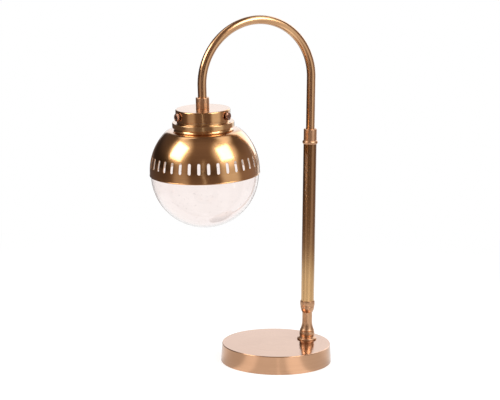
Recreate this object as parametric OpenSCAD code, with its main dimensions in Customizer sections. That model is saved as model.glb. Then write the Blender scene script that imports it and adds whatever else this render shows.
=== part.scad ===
// Brass desk lamp: a weighted round base, a turned post set to one side, a bent
// crook arm and a slotted half-dome shade over a glass globe.
// The origin is on the underside of the felt pad, at the centre of the base.
// The post stands at +X and the head hangs at -X. All lengths are in millimetres.

/* [Base] */
// Diameter of the base across its top face
base_top_d = 180; // [170:1:220]
// Extra diameter of the base at its bottom rim
base_flare = 3.6; // [0.4:0.2:10]
// Height of the spun base shell
base_h = 30; // [26:0.5:45]
// Thickness of the spun sheet of the base
base_wall = 1.5; // [1:0.1:2.5]
// Radius on the top edge of the base
base_edge_r = 1.2; // [0.6:0.1:3]
// Thickness of the felt pad
pad_t = 2; // [1.2:0.1:4]
// How far the pad stands below the rim of the shell
pad_stand = 0.6; // [0.3:0.1:1]
// Thickness of the cover plate that carries the pad
cover_t = 1; // [0.6:0.1:2]
// Free height between the cover plate and the weight, for the lead
lead_space = 10.2; // [9.5:0.1:13]
// Gap between the iron weight and the inner end of the cord bush
weight_gap = 0.5; // [0.5:0.5:8]
// Height of the pocket in the weight that takes the washer and nut
pocket_h = 6; // [4:0.5:8]
// Diameter of that pocket
pocket_d = 42; // [40:1:50]

/* [Cord inlet] */
// Bore of the bush that the cord passes through
bush_bore_d = 6.5; // [5:0.1:7.5]
// Wall of the bush round its bore
bush_wall = 1.4; // [1:0.1:1.8]
// Width of the flange of the bush beyond its sleeve
bush_flange_w = 1.6; // [1:0.1:2]
// How far the bush flange stands off the shell
bush_proud = 2; // [1:0.1:4]
// How far the bush reaches inside the shell
bush_reach = 3.5; // [3:0.1:6]
// Clearance between the lip of the bush and the cover plate
bush_rise = 0.5; // [0.4:0.1:2]
// Length, width and height of the terminal block
block_l = 16; // [12:1:20]
block_w = 18; // [12:1:24]
block_h = 7; // [6:0.5:8]
// Distance from the post axis to the near end of the block
block_off = 26; // [24:1:34]

/* [Rod and lead] */
// Distance of the post axis in from the edge of the base top
post_in = 32; // [24:0.5:40]
// Outer diameter of the threaded rod, and of the nipple in the head
rod_d = 10; // [9:0.1:11]
// Bore of the rod and of the nipple
rod_bore_d = 6.4; // [6:0.1:7]
// Length of rod that shows below the nut
rod_tail = 1.2; // [0.5:0.1:2]
// Depth that the rod screws into the top ferrule
rod_grip = 7; // [4:0.5:8]
// Height and width across flats of the rod nut
nut_h = 5.5; // [4:0.5:6]
nut_af = 17; // [15:0.5:19]
// Diameter and thickness of the rod washer
washer_d = 30; // [24:1:36]
washer_t = 2; // [1:0.25:3]
// Diameter of the flex inside the lamp
lead_d = 4.4; // [3:0.1:5]
// Bend radius of the flex where it leaves the rod
lead_bend_r = 4.5; // [4:0.1:4.8]
// Drop from the end of the rod to the axis of the flex
lead_drop = 3; // [2.6:0.1:3.4]

/* [Turned post] */
// Diameter of the foot flange
flange_d = 32.4; // [28:0.2:40]
// Height of the flange edge
flange_h = 2.4; // [1.6:0.1:4]
// Rise of the flange slope from its edge to the groove
flange_rise = 2.2; // [1:0.1:4]
// Diameter of the groove above the flange
groove_d = 23; // [22:0.2:24]
// Height of that groove
groove_h = 0.6; // [0.4:0.1:1.5]
// Diameter of the barrel on the foot
barrel_d = 25; // [24.4:0.2:28]
// Height of the barrel
barrel_h = 9.2; // [6:0.2:14]
// Bow of the barrel side
barrel_bow = 0.7; // [0.2:0.1:1.2]
// Diameter and height of the ring under the flare
ring_d = 23.8; // [23:0.2:26]
ring_h = 2.6; // [1.5:0.1:4]
// Diameter at the foot of the flare
flare_d = 22.4; // [20:0.2:22.8]
// Height of the flare
flare_h = 14.6; // [10:0.2:20]
// Diameter of the slim neck
slim_d = 16.6; // [15.4:0.2:19]
// Height of the slim neck
slim_h = 14.8; // [8:0.2:24]
// Diameter where the cup starts
cup_low_d = 17; // [16:0.2:20]
// Diameter at the top of the cup bowl
cup_bowl_d = 23; // [22.4:0.2:25]
// Height of the cup bowl
cup_bowl_h = 10; // [7:0.2:14]
// Height and depth of the groove round the cup
cup_groove_h = 0.9; // [0.5:0.1:1.5]
cup_groove_in = 0.5; // [0.2:0.1:0.8]
// Diameter and height of the band that ends the cup
cup_band_d = 24.4; // [24:0.1:27]
cup_band_h = 9.3; // [6:0.1:12]
// Bow of the band side
cup_band_bow = 0.5; // [0.2:0.1:0.8]
// Depth that the post tube sinks into the cup
cup_socket = 3; // [2:0.5:5]
// Diameter of the post tube
post_d = 21.6; // [20:0.1:22]
// Wall of the post tube
post_wall = 1.5; // [1:0.1:2]
// Length of post tube that shows
post_len = 266; // [180:1:340]
// Diameter and height of the bead on the top ferrule
bead_d = 25.4; // [24:0.1:29]
bead_h = 6.2; // [4:0.1:9]
// How far the bead swells beyond its edges
bead_bow = 1.9; // [0.8:0.1:2]
// Diameter and height of the sleeve on the top ferrule
sleeve_d = 21.6; // [19:0.1:23]
sleeve_h = 19; // [15:0.5:28]
// Length of the spigot that centres the ferrule in the post tube
spigot_h = 12; // [6:1:20]
// Chamfer on the turned ends
turn_chamfer = 0.6; // [0.2:0.1:1]

/* [Crook arm] */
// Diameter of the arm tube
arm_d = 14.3; // [13:0.1:16]
// Wall of the arm tube
arm_wall = 1; // [0.8:0.1:1.6]
// Straight rise from the ferrule to the bend
arm_leg = 85.6; // [60:0.2:120]
// Radius of the bend, on the tube axis
arm_r = 99; // [95:0.5:110]
// Angle of the bend; a few degrees over 180 lean the head towards the post
arm_bend = 182.5; // [179:0.1:186]
// Straight tail from the bend to the head collar
arm_tail = 17.4; // [10:0.2:40]
// Depth that the arm sinks into the ferrule and the collar
arm_grip = 8; // [6:0.5:10]
// How much slimmer the straight tail is sized than the bend, on the radius
arm_sizing = 0.02; // [0.02:0.01:0.1]

/* [Fitter] */
// Diameter and height of the head collar
collar_d = 21.6; // [19:0.1:24]
collar_h = 18; // [14:0.1:24]
// Diameter of the fitter cap
cap_d = 88.2; // [86:0.2:92]
// Height of the fitter cap
cap_h = 16.8; // [16.6:0.1:22]
// Sheet thickness of the fitter cap
cap_wall = 1.2; // [0.8:0.1:1.6]
// Radius on the top edge of the cap
cap_edge_r = 2; // [0.8:0.1:2.4]
// Height and width across flats of the locknut in the cap
locknut_h = 3; // [2:0.5:3.5]
locknut_af = 15; // [14:0.5:18]
// Diameter of the thumb screws
screw_d = 4; // [3:0.1:5]
// Depth of the screw axes below the cap's top face
screw_drop = 9.8; // [9.4:0.1:10.4]
// Angle of the first screw, from the direction of the post
screw_start = 63; // [50:1:80]
// Diameter and thickness of the knurled screw heads
head_d = 12.4; // [9:0.2:13]
head_t = 4.5; // [3:0.1:7]
// Number of ridges and their height on a screw head
knurl_n = 24; // [16:1:32]
knurl_h = 0.4; // [0.2:0.05:0.6]
// Gap between a screw head and the cap
head_gap = 0.9; // [0.5:0.1:3]

/* [Neck ring] */
// Gap between the cap and the neck ring
ring_gap = 0.5; // [0.3:0.1:2]
// How far the upper neck of the ring stays inside the cap's diameter, at each side
ring_neck_in = 1.6; // [0.4:0.1:1.8]
// Height of the upper neck
ring_neck_h = 3.8; // [2:0.1:8]
// How far the disc stands out beyond the lower neck, and its thickness
disc_over = 4; // [2:0.1:8]
disc_t = 8.6; // [3:0.1:12]
// Radius on the edges of the disc
disc_edge_r = 1.2; // [0.3:0.1:1.4]
// Wall of the lower neck round the bore, and its height
ring_foot_w = 4.6; // [3:0.1:7]
ring_foot_h = 4.4; // [1:0.1:6]
// How far the foot of the ring laps over the seat of the shade
seat_lap = 2.7; // [1:0.1:4]

/* [Shade] */
// Outer diameter of the dome
dome_d = 177.6; // [170:0.2:190]
// How far the seat's plane reaches past the disc before it meets the round of the dome
seat_w = 8.1; // [1:0.1:12]
// Radius where the crown of the dome turns over into its flat seat
crown_edge_r = 15; // [3:0.5:18]
// Thickness of the spun dome
dome_wall = 1.2; // [0.8:0.1:1.3]
// Straight skirt below the widest part of the dome
skirt_h = 5; // [3:0.5:20]
// Radius of the rolled bead on the rim
rim_r = 0.9; // [0.6:0.1:1]
// Number of slots round the dome
slot_n = 35; // [12:1:40]
// Width of a slot
slot_w = 4.8; // [2:0.1:6]
// Height of a slot
slot_h = 17.6; // [10:0.2:24]
// Distance from the rim up to the slots
slot_rise = 14.8; // [8:0.2:20]
// Angle of the first slot
slot_start = 2.3; // [0:0.1:10]
// Gap all round between the dome's wall and the widest part of the glass globe
globe_slack = 0.6; // [0.6:0.1:8]
// Thickness of the glass
glass_t = 2.5; // [1.5:0.1:3.5]
// How far the flat shoulder of the globe reaches past the hole in the shade
shoulder_w = 6.4; // [1:0.1:8]
// Radius where that shoulder turns into the round of the globe
shoulder_edge_r = 6; // [4:0.5:10]
// Gap between the lip of the globe and the wall of the cap, which sizes the globe's neck
lip_clear = 2.3; // [1.6:0.1:6]
// Width and height of the lip on the neck
lip_w = 2; // [1:0.1:2.4]
lip_h = 4; // [2:0.1:4.4]

/* [Lampholder and bulb] */
// Diameter of the lampholder
holder_d = 27; // [24:0.5:34]
// Wall of the lampholder
holder_wall = 1.5; // [1:0.1:2]
// Height of the holder's cap and of its body
holder_cap_h = 11; // [9:0.5:16]
holder_body_h = 25; // [22:0.5:30]
// Thickness of the insulating base inside the holder
core_h = 5; // [3:0.5:7]
// Diameter of the bulb's screw cap
bulb_cap_d = 14; // [13:0.1:16]
// Height of the bulb's screw cap
bulb_cap_h = 19; // [17:0.5:20]
// Diameter of the bulb
bulb_d = 45; // [35:1:50]
// Height of the bulb's glass
bulb_h = 52; // [46:1:54]

/* [Fits] */
// Radial clearance where one piece slips or screws into another
slip = 0.05; // [0.03:0.01:0.1]
// Gap where a piece passes clear through another
pass_gap = 0.4; // [0.3:0.05:0.6]
// Gap between the glass and the metal that steadies it
glass_gap = 0.3; // [0.3:0.05:0.5]

/* [Hidden] */
$fn = 96;
over = 1;                       // how far a cutting shape runs past what it cuts
tail_root = 0.5;                // how far the sized tail starts inside the bend

post_x = base_top_d / 2 - post_in;

// Heights in the base, from the table up
rim_z = pad_stand;
base_z = rim_z + base_h;
cover_z = pad_t;
weight_z = cover_z + cover_t + lead_space;
weight_top = base_z - base_wall;
washer_z = weight_z + pocket_h - washer_t;
nut_z = washer_z - nut_h;
rod_z = nut_z - rod_tail;
lead_z = rod_z - lead_drop;
bush_sleeve_r = bush_bore_d / 2 + bush_wall;
bush_lip_r = bush_sleeve_r + bush_flange_w / 2;
bush_z = cover_z + cover_t + bush_lip_r + bush_rise;
weight_r = base_top_d / 2 - base_wall - bush_reach - weight_gap;

// Heights along the post, from the base up
barrel_z = flange_h + flange_rise + groove_h;
foot_h = barrel_z + barrel_h;
baluster_z = base_z + foot_h;
cup_z = baluster_z + ring_h + flare_h + slim_h;
cup_h = cup_bowl_h + cup_groove_h + cup_band_h;
post_z = cup_z + cup_h - cup_socket;
bead_z = cup_z + cup_h + post_len;
sleeve_z = bead_z + bead_h;
ferrule_top = sleeve_z + sleeve_h;
rod_top = sleeve_z - bead_h + rod_grip;
bend_z = ferrule_top + arm_leg;

// Radii of the passages
rod_hole_r = rod_d / 2 + pass_gap;
rod_thread_r = rod_d / 2 + slip;
post_bore_r = post_d / 2 - post_wall;
arm_hole_r = arm_d / 2 + slip;

// Depths in the head, from the top of the collar down
cap_s = collar_h;
cap_low_s = cap_s + cap_h;
screw_s = cap_s + screw_drop;
lip_low_s = screw_s - screw_d / 2 - glass_gap;
ring_s = cap_low_s + ring_gap;
disc_s = ring_s + ring_neck_h;
seat_s = disc_s + disc_t + ring_foot_h;
locknut_s = cap_s + cap_wall;
holder_s = locknut_s + locknut_h;
nipple_low_s = holder_s + holder_cap_h - holder_wall;
body_s = holder_s + holder_cap_h;
mouth_s = body_s + holder_body_h;

// The ring: its bore clears the lip of the globe, and its walls stand round the bore
globe_neck_r = cap_d / 2 - cap_wall - lip_clear - lip_w;
ring_bore_r = globe_neck_r + lip_w + 2 * pass_gap;
ring_foot_r = ring_bore_r + ring_foot_w;
disc_r = ring_foot_r + disc_over;

// The shade: its seat is a flat across the crown of the dome
seat_r = disc_r + seat_w;
dome_r = dome_d / 2;
dome_s = seat_s + sqrt(dome_r * dome_r - seat_r * seat_r);
dome_low_s = dome_s + skirt_h;

// The globe: its lip fits in the cap, and the shade's seat rests on its flat shoulder
globe_r = dome_r - dome_wall - globe_slack;
seat_hole_r = ring_foot_r - seat_lap;
shoulder_s = seat_s + dome_wall;
globe_s = shoulder_s + globe_rise(seat_hole_r + shoulder_w);

// The screws: the tip stops short of the glass, the head stands off the cap
screw_tip_r = globe_neck_r + glass_gap;
screw_head_r = cap_d / 2 + head_gap;

// The bulb hangs from the mouth of the lampholder
bulb_cap_s = mouth_s + 1.5 - bulb_cap_h;
bulb_s = mouth_s + 1.5;

// Height of the globe's surface above its centre at radius r
function globe_rise(r) = sqrt(globe_r * globe_r - r * r);
// Radius of the base wall at height z
function base_r(z) = base_top_d / 2 + base_flare / 2 * (base_z - z) / base_h;
// Radius of an arc that rises by h while it moves in or out by w
function arc_r(w, h) = (w * w + h * h) / (2 * w);

// Outline tools, drawn in the plane that is turned about the axis

// Cuts the outer top corner at (x, y) to radius r
module round_off(x, y, r) {
    difference() {
        translate([x - r, y - r]) square(r + over);
        translate([x - r, y - r]) circle(r);
    }
}

// Band of radius r and height h whose side bows out by bow
module bowed_band(r, h, bow) {
    big = arc_r(bow, h / 2);
    intersection() {
        square([r, h]);
        translate([r - big, h / 2]) circle(big);
    }
}

// Hollow flare from radius r_low at the bottom to r_top at height h
module cove(r_low, r_top, h) {
    big = arc_r(r_low - r_top, h);
    difference() {
        square([r_low, h]);
        translate([r_top + big, h]) circle(big);
    }
}

// Swelling bowl from radius r_low at the bottom to r_top at height h
module ovolo(r_low, r_top, h) {
    big = arc_r(r_top - r_low, h);
    intersection() {
        square([r_top, h]);
        translate([r_top - big, h]) circle(big);
    }
}

// Band whose top edge is chamfered by c
module chamfered_band(r, h, c) {
    polygon([[0, 0], [r, 0], [r, h - c], [r - c, h], [0, h]]);
}

// Half disc of radius r with a flat top at height crown, its corner turned over to radius edge
module crowned_half(r, crown, edge) {
    edge_x = sqrt((r - edge) * (r - edge) - (crown - edge) * (crown - edge));
    reach = (r + over) / (r - edge);
    difference() {
        intersection() {
            circle(r);
            translate([0, -r]) square([r, r + crown]);
        }
        difference() {
            polygon([
                [edge_x, crown - edge], [edge_x, crown + over],
                [edge_x * reach, crown + over], [edge_x * reach, (crown - edge) * reach]
            ]);
            translate([edge_x, crown - edge]) circle(edge);
        }
    }
}

// Places

module at_post(z) translate([post_x, 0, z]) children();

// End of the bend, with -Z running down the head
module at_bend_end() {
    translate([post_x - arm_r + arm_r * cos(arm_bend), 0, bend_z + arm_r * sin(arm_bend)])
        rotate([0, 180 - arm_bend, 0]) children();
}

// Depth s below the top of the head collar
module at_head(s) at_bend_end() translate([0, 0, -arm_tail - s]) children();

// Head outlines are drawn downwards: y is the depth below the collar's top
module turned_in_head() at_head(0) mirror([0, 0, 1]) rotate_extrude() children();

// Solid of radius r along the arm's axis, from z_low through the bend to depth s_end
module arm_core(r, z_low, s_end) {
    at_post(z_low) cylinder(h = bend_z - z_low, r = r);
    translate([post_x - arm_r, 0, bend_z]) rotate([90, 0, 0])
        rotate_extrude(angle = arm_bend) translate([arm_r, 0]) circle(r);
    at_head(s_end) cylinder(h = arm_tail + s_end + tail_root, r = r - arm_sizing);
}

// Base

module base_shell() {
    color([0.83, 0.66, 0.54])
    difference() {
        rotate_extrude() difference() {
            polygon([[0, rim_z], [base_r(rim_z), rim_z], [base_r(base_z), base_z], [0, base_z]]);
            polygon([
                [0, rim_z - over], [base_r(rim_z - over) - base_wall, rim_z - over],
                [base_r(weight_top) - base_wall, weight_top], [0, weight_top]
            ]);
            round_off(base_r(base_z - base_edge_r), base_z, base_edge_r);
        }
        at_post(weight_top - over) cylinder(h = base_wall + 2 * over, r = rod_hole_r);
        translate([base_top_d / 2 - 2 * base_wall, 0, bush_z]) rotate([0, 90, 0])
            cylinder(h = base_flare + 4 * base_wall, r = bush_sleeve_r + slip);
    }
}

module base_weight() {
    color([0.25, 0.25, 0.26])
    difference() {
        translate([0, 0, weight_z])
            cylinder(h = weight_top - weight_z, r = weight_r);
        at_post(weight_z - over) cylinder(h = base_h, r = rod_hole_r);
        at_post(weight_z - over) cylinder(h = pocket_h + over, r = pocket_d / 2);
    }
}

module base_cover() {
    color([0.6, 0.6, 0.62])
    translate([0, 0, cover_z])
        cylinder(h = cover_t, r = base_r(cover_z + cover_t) - base_wall - slip);
}

module base_pad() {
    color([0.2, 0.24, 0.2])
    cylinder(h = pad_t, r = base_r(cover_z) - base_wall - pass_gap);
}

module cord_bush() {
    outer_x = base_r(bush_z) + bush_proud;
    inner_x = base_r(bush_z) - base_wall - bush_reach;
    color([0.12, 0.11, 0.1])
    difference() {
        union() {
            translate([inner_x, 0, bush_z]) rotate([0, 90, 0])
                cylinder(h = outer_x - inner_x, r = bush_sleeve_r);
            translate([inner_x, 0, bush_z]) rotate([0, 90, 0])
                cylinder(h = bush_reach / 2, r = bush_lip_r);
            difference() {
                translate([base_r(bush_z) - base_wall, 0, bush_z]) rotate([0, 90, 0])
                    cylinder(h = bush_proud + base_wall, r = bush_sleeve_r + bush_flange_w);
                translate([0, 0, rim_z])
                    cylinder(h = base_h, r1 = base_r(rim_z), r2 = base_r(base_z));
            }
        }
        translate([inner_x - over, 0, bush_z]) rotate([0, 90, 0])
            cylinder(h = outer_x - inner_x + 2 * over, r = bush_bore_d / 2);
    }
}

module terminal_block() {
    color([0.9, 0.88, 0.82])
    difference() {
        translate([post_x - block_off - block_l, -block_w / 2, weight_z - block_h])
            cube([block_l, block_w, block_h]);
        for (side = [-1, 1])
            translate([post_x - block_off - block_l / 2, side * block_w / 4, weight_z - block_h - over])
                cylinder(h = block_h / 2 + over, d = block_w / 6);
    }
}

// Rod, nut and washer that pull the stack of turned pieces together

module hex_nut(af, h, bore_r) {
    difference() {
        cylinder(h = h, d = af / cos(30), $fn = 6);
        translate([0, 0, -over]) cylinder(h = h + 2 * over, r = bore_r);
    }
}

module rod_washer() {
    color([0.7, 0.7, 0.72])
    at_post(washer_z) difference() {
        cylinder(h = washer_t, d = washer_d);
        translate([0, 0, -over]) cylinder(h = washer_t + 2 * over, r = rod_hole_r);
    }
}

module rod_nut() {
    color([0.72, 0.72, 0.74])
    at_post(nut_z) hex_nut(nut_af, nut_h, rod_thread_r);
}

module tension_rod() {
    color([0.66, 0.66, 0.68])
    at_post(rod_z) difference() {
        cylinder(h = rod_top - rod_z, d = rod_d);
        translate([0, 0, -over]) cylinder(h = rod_top - rod_z + 2 * over, d = rod_bore_d);
    }
}

// Turned pieces of the post

module foot_collar() {
    slope_r = flange_d / 2 - turn_chamfer;
    color([0.62, 0.4, 0.26])
    at_post(base_z) rotate_extrude() difference() {
        union() {
            chamfered_band(flange_d / 2, flange_h, turn_chamfer);
            polygon([
                [0, flange_h], [slope_r, flange_h],
                [groove_d / 2, flange_h + flange_rise], [0, flange_h + flange_rise]
            ]);
            square([groove_d / 2, foot_h]);
            translate([0, barrel_z]) bowed_band(barrel_d / 2, barrel_h, barrel_bow);
        }
        square([rod_hole_r, foot_h]);
    }
}

module baluster() {
    color([0.68, 0.45, 0.3])
    at_post(baluster_z) rotate_extrude() difference() {
        union() {
            bowed_band(ring_d / 2, ring_h, ring_h / 6);
            translate([0, ring_h]) cove(flare_d / 2, slim_d / 2, flare_h);
            square([slim_d / 2, ring_h + flare_h + slim_h]);
        }
        square([rod_hole_r, ring_h + flare_h + slim_h]);
    }
}

module post_cup() {
    band_y = cup_bowl_h + cup_groove_h;
    color([0.72, 0.5, 0.33])
    at_post(cup_z) rotate_extrude() difference() {
        union() {
            ovolo(cup_low_d / 2, cup_bowl_d / 2, cup_bowl_h);
            square([cup_bowl_d / 2 - cup_groove_in, cup_h]);
            translate([0, band_y]) bowed_band(cup_band_d / 2, cup_band_h, cup_band_bow);
        }
        square([rod_hole_r, cup_h]);
        translate([0, cup_h - cup_socket]) square([post_d / 2 + slip, cup_socket]);
    }
}

module post_tube() {
    color([0.66, 0.5, 0.34])
    at_post(post_z) rotate_extrude()
        translate([post_bore_r, 0]) square([post_wall, bead_z - post_z]);
}

module top_ferrule() {
    color([0.66, 0.45, 0.3])
    at_post(bead_z) rotate_extrude() difference() {
        union() {
            translate([0, -spigot_h]) square([post_bore_r - slip, spigot_h]);
            bowed_band(bead_d / 2, bead_h, bead_bow);
            translate([0, bead_h]) chamfered_band(sleeve_d / 2, sleeve_h, turn_chamfer);
        }
        translate([0, -spigot_h]) square([rod_thread_r, spigot_h + rod_grip]);
        square([rod_bore_d / 2, bead_h + sleeve_h]);
        translate([0, bead_h + sleeve_h - arm_grip]) square([arm_hole_r, arm_grip]);
    }
}

module gooseneck_arm() {
    color([0.7, 0.5, 0.32])
    difference() {
        arm_core(arm_d / 2, ferrule_top - arm_grip, arm_grip);
        arm_core(arm_d / 2 - arm_wall, ferrule_top - arm_grip - over, arm_grip + over);
    }
}

// Head

module head_collar() {
    color([0.66, 0.43, 0.28])
    turned_in_head() difference() {
        polygon([
            [0, 0], [collar_d / 2 - turn_chamfer, 0], [collar_d / 2, turn_chamfer],
            [collar_d / 2, collar_h], [0, collar_h]
        ]);
        square([arm_hole_r, arm_grip]);
        square([rod_thread_r, collar_h]);
    }
}

module head_nipple() {
    color([0.66, 0.66, 0.68])
    turned_in_head() translate([rod_bore_d / 2, arm_grip + slip])
        square([(rod_d - rod_bore_d) / 2, nipple_low_s - arm_grip - slip]);
}

module cap_locknut() {
    color([0.72, 0.72, 0.74])
    at_head(locknut_s + locknut_h) hex_nut(locknut_af, locknut_h, rod_thread_r);
}

module fitter_cap() {
    cap_r = cap_d / 2;
    color([0.68, 0.52, 0.34])
    difference() {
        at_head(cap_low_s) rotate_extrude() difference() {
            square([cap_r, cap_h]);
            square([cap_r - cap_wall, cap_h - cap_wall]);
            square([rod_hole_r - pass_gap + slip, cap_h]);
            round_off(cap_r, cap_h, cap_edge_r);
        }
        for (i = [0:2])
            at_screw(i) translate([0, 0, cap_r - 2 * cap_wall])
                cylinder(h = 3 * cap_wall, r = screw_d / 2 + slip);
    }
}

// Axis of thumb screw i, with +Z pointing out of the cap
module at_screw(i) {
    at_head(screw_s) rotate([0, 90, screw_start + i * 120]) children();
}

module thumb_screw(i) {
    color([0.6, 0.38, 0.25])
    at_screw(i) {
        translate([0, 0, screw_tip_r])
            cylinder(h = screw_head_r - screw_tip_r + head_t / 2, d = screw_d);
        translate([0, 0, screw_head_r]) intersection() {
            linear_extrude(height = head_t) polygon([
                for (k = [0:2 * knurl_n - 1])
                    let (r = head_d / 2 + (k % 2 == 0 ? knurl_h / 2 : -knurl_h), a = k * 180 / knurl_n)
                        [r * cos(a), r * sin(a)]
            ]);
            rotate_extrude() polygon([
                [0, 0], [head_d / 2 - turn_chamfer, 0], [head_d / 2, turn_chamfer],
                [head_d / 2, head_t - turn_chamfer], [head_d / 2 - turn_chamfer, head_t],
                [0, head_t]
            ]);
        }
    }
}

module thumb_screw_1() thumb_screw(0);
module thumb_screw_2() thumb_screw(1);
module thumb_screw_3() thumb_screw(2);

module neck_ring() {
    disc_y = ring_neck_h;
    foot_y = disc_y + disc_t;
    color([0.66, 0.5, 0.32])
    turned_in_head() translate([0, ring_s]) difference() {
        union() {
            square([cap_d / 2 - ring_neck_in, foot_y]);
            difference() {
                translate([0, disc_y]) square([disc_r, disc_t]);
                round_off(disc_r, foot_y, disc_edge_r);
                translate([0, 2 * disc_y + disc_t]) mirror([0, 1])
                    round_off(disc_r, foot_y, disc_edge_r);
            }
            translate([0, foot_y]) square([ring_foot_r, ring_foot_h]);
        }
        square([ring_bore_r, foot_y + ring_foot_h]);
    }
}

// Half dome of radius r with a straight skirt, centred on the dome's middle
module dome_outline(r, crown, edge) {
    intersection() {
        mirror([0, 1]) crowned_half(r, crown, edge);
        translate([0, -crown]) square([r, crown]);
    }
    square([r, skirt_h]);
}

module dome_shade() {
    crown = dome_s - seat_s;
    color([0.62, 0.45, 0.28])
    difference() {
        turned_in_head() translate([0, dome_s]) {
            difference() {
                dome_outline(dome_r, crown, crown_edge_r);
                dome_outline(dome_r - dome_wall, crown - dome_wall, crown_edge_r - dome_wall);
                translate([0, skirt_h - over]) square([dome_r - dome_wall, 2 * over]);
                translate([0, -crown - over]) square([seat_hole_r, crown]);
            }
            translate([dome_r - rim_r / 2, skirt_h]) circle(rim_r);
        }
        for (i = [0:slot_n - 1])
            at_head(dome_low_s - slot_rise - slot_h / 2)
                rotate([0, 90, slot_start + i * 360 / slot_n])
                    translate([0, 0, dome_r / 2]) linear_extrude(height = dome_r) slot_outline();
    }
}

// Slot with round ends, its length across the dome's height
module slot_outline() {
    run = slot_h - slot_w;
    square([run, slot_w], center = true);
    for (side = [-1, 1]) translate([side * run / 2, 0]) circle(slot_w / 2);
}

module glass_globe() {
    lip_top_s = lip_low_s - lip_h;
    crown = globe_s - shoulder_s;
    color([0.96, 0.93, 0.88, 0.4])
    turned_in_head() difference() {
        union() {
            translate([0, globe_s]) mirror([0, 1])
                crowned_half(globe_r, crown, shoulder_edge_r);
            translate([0, lip_top_s]) square([globe_neck_r, shoulder_s + glass_t - lip_top_s]);
            translate([0, lip_top_s]) square([globe_neck_r + lip_w, lip_h]);
        }
        translate([0, globe_s]) mirror([0, 1])
            crowned_half(globe_r - glass_t, crown - glass_t, shoulder_edge_r - glass_t);
        translate([0, lip_top_s]) square([globe_neck_r - glass_t, globe_s - lip_top_s]);
    }
}

// Lampholder and bulb

module holder_cap() {
    r = holder_d / 2;
    color([0.93, 0.91, 0.86])
    turned_in_head() translate([0, holder_s]) difference() {
        square([r, holder_cap_h]);
        translate([0, holder_wall]) square([r - holder_wall, holder_cap_h]);
        square([rod_thread_r, holder_cap_h]);
    }
}

module holder_body() {
    r = holder_d / 2;
    color([0.93, 0.91, 0.86])
    turned_in_head() translate([0, body_s]) difference() {
        square([r, holder_body_h]);
        square([r - holder_wall, holder_body_h - holder_wall]);
        square([bulb_cap_d / 2 + 1, holder_body_h]);
    }
}

module holder_core() {
    shell_r = bulb_cap_d / 2 + slip;
    shell_h = holder_body_h - core_h - 2 * holder_wall;
    color([0.85, 0.82, 0.76])
    turned_in_head() translate([0, body_s]) {
        square([holder_d / 2 - holder_wall, core_h]);
        translate([shell_r, core_h]) square([0.5, shell_h]);
    }
}

module bulb_cap() {
    tip_s = body_s + core_h;
    color([0.78, 0.72, 0.55])
    turned_in_head() {
        translate([0, bulb_cap_s]) square([bulb_cap_d / 2, bulb_cap_h]);
        translate([0, tip_s]) square([bulb_cap_d / 6, bulb_cap_s - tip_s]);
    }
}

module bulb_globe() {
    bulb_r = bulb_d / 2;
    centre_y = bulb_h - bulb_r;
    color([0.97, 0.96, 0.93])
    turned_in_head() translate([0, bulb_s]) {
        intersection() {
            translate([0, centre_y]) circle(bulb_r);
            translate([0, centre_y - bulb_r]) square([bulb_r, bulb_d]);
        }
        polygon([
            [0, 0], [bulb_cap_d / 2 + 1, 0], [bulb_r * 0.7, centre_y - bulb_r * 0.65],
            [0, centre_y - bulb_r * 0.65]
        ]);
    }
}

// Flex held inside the lamp, from the terminal block to the lampholder
module inner_lead() {
    lead_r = lead_d / 2;
    run_end = post_x - block_off;
    turn_x = post_x - lead_bend_r;
    color([0.85, 0.8, 0.68])
    union() {
        arm_core(lead_r, lead_z + lead_bend_r, body_s);
        translate([turn_x, 0, lead_z + lead_bend_r]) rotate([90, 0, 0]) rotate([0, 0, -90])
            rotate_extrude(angle = 90) translate([lead_bend_r, 0]) circle(lead_r);
        translate([run_end, 0, lead_z]) rotate([0, 90, 0])
            cylinder(h = turn_x - run_end, r = lead_r);
    }
}

base_shell();
base_weight();
base_cover();
base_pad();
cord_bush();
terminal_block();
rod_washer();
rod_nut();
tension_rod();
foot_collar();
baluster();
post_cup();
post_tube();
top_ferrule();
gooseneck_arm();
head_collar();
head_nipple();
fitter_cap();
cap_locknut();
thumb_screw_1();
thumb_screw_2();
thumb_screw_3();
neck_ring();
dome_shade();
glass_globe();
holder_cap();
holder_body();
holder_core();
bulb_cap();
bulb_globe();
inner_lead();
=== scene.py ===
"""Brass desk lamp: a turned post on a round base, and a slotted half-dome shade over a glass globe.

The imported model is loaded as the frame. Sizes are the same ones that the solids have. They are in
millimetres in the dataclasses and become metres when a piece's mesh is made. The origin is under
the felt pad, the post stands at +X and the head hangs at -X.
"""

import enum
import logging
import math
from dataclasses import dataclass, field
from typing import Callable, ClassVar, Optional, Sequence

import bpy
import numpy as np
from mathutils import Matrix, Vector


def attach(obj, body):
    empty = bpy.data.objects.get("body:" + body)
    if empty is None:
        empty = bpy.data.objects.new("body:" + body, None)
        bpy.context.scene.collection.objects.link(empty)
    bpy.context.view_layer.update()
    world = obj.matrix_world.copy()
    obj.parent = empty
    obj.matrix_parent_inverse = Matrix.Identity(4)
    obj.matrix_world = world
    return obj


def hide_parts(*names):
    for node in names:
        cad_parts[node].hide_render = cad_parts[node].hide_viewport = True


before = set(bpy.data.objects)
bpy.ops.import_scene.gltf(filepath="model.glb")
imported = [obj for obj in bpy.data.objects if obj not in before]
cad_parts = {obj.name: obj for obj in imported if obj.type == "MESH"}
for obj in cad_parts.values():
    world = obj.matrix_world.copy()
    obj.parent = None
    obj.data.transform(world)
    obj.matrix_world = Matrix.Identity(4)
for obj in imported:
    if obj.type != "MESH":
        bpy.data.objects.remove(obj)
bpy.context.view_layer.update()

logger = logging.getLogger("desk_lamp")
MM = 0.001


class Body(str, enum.Enum):
    """The moving bodies of the lamp."""

    LAMP = "lamp"
    SCREW_1 = "screw_1"
    SCREW_2 = "screw_2"
    SCREW_3 = "screw_3"


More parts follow.
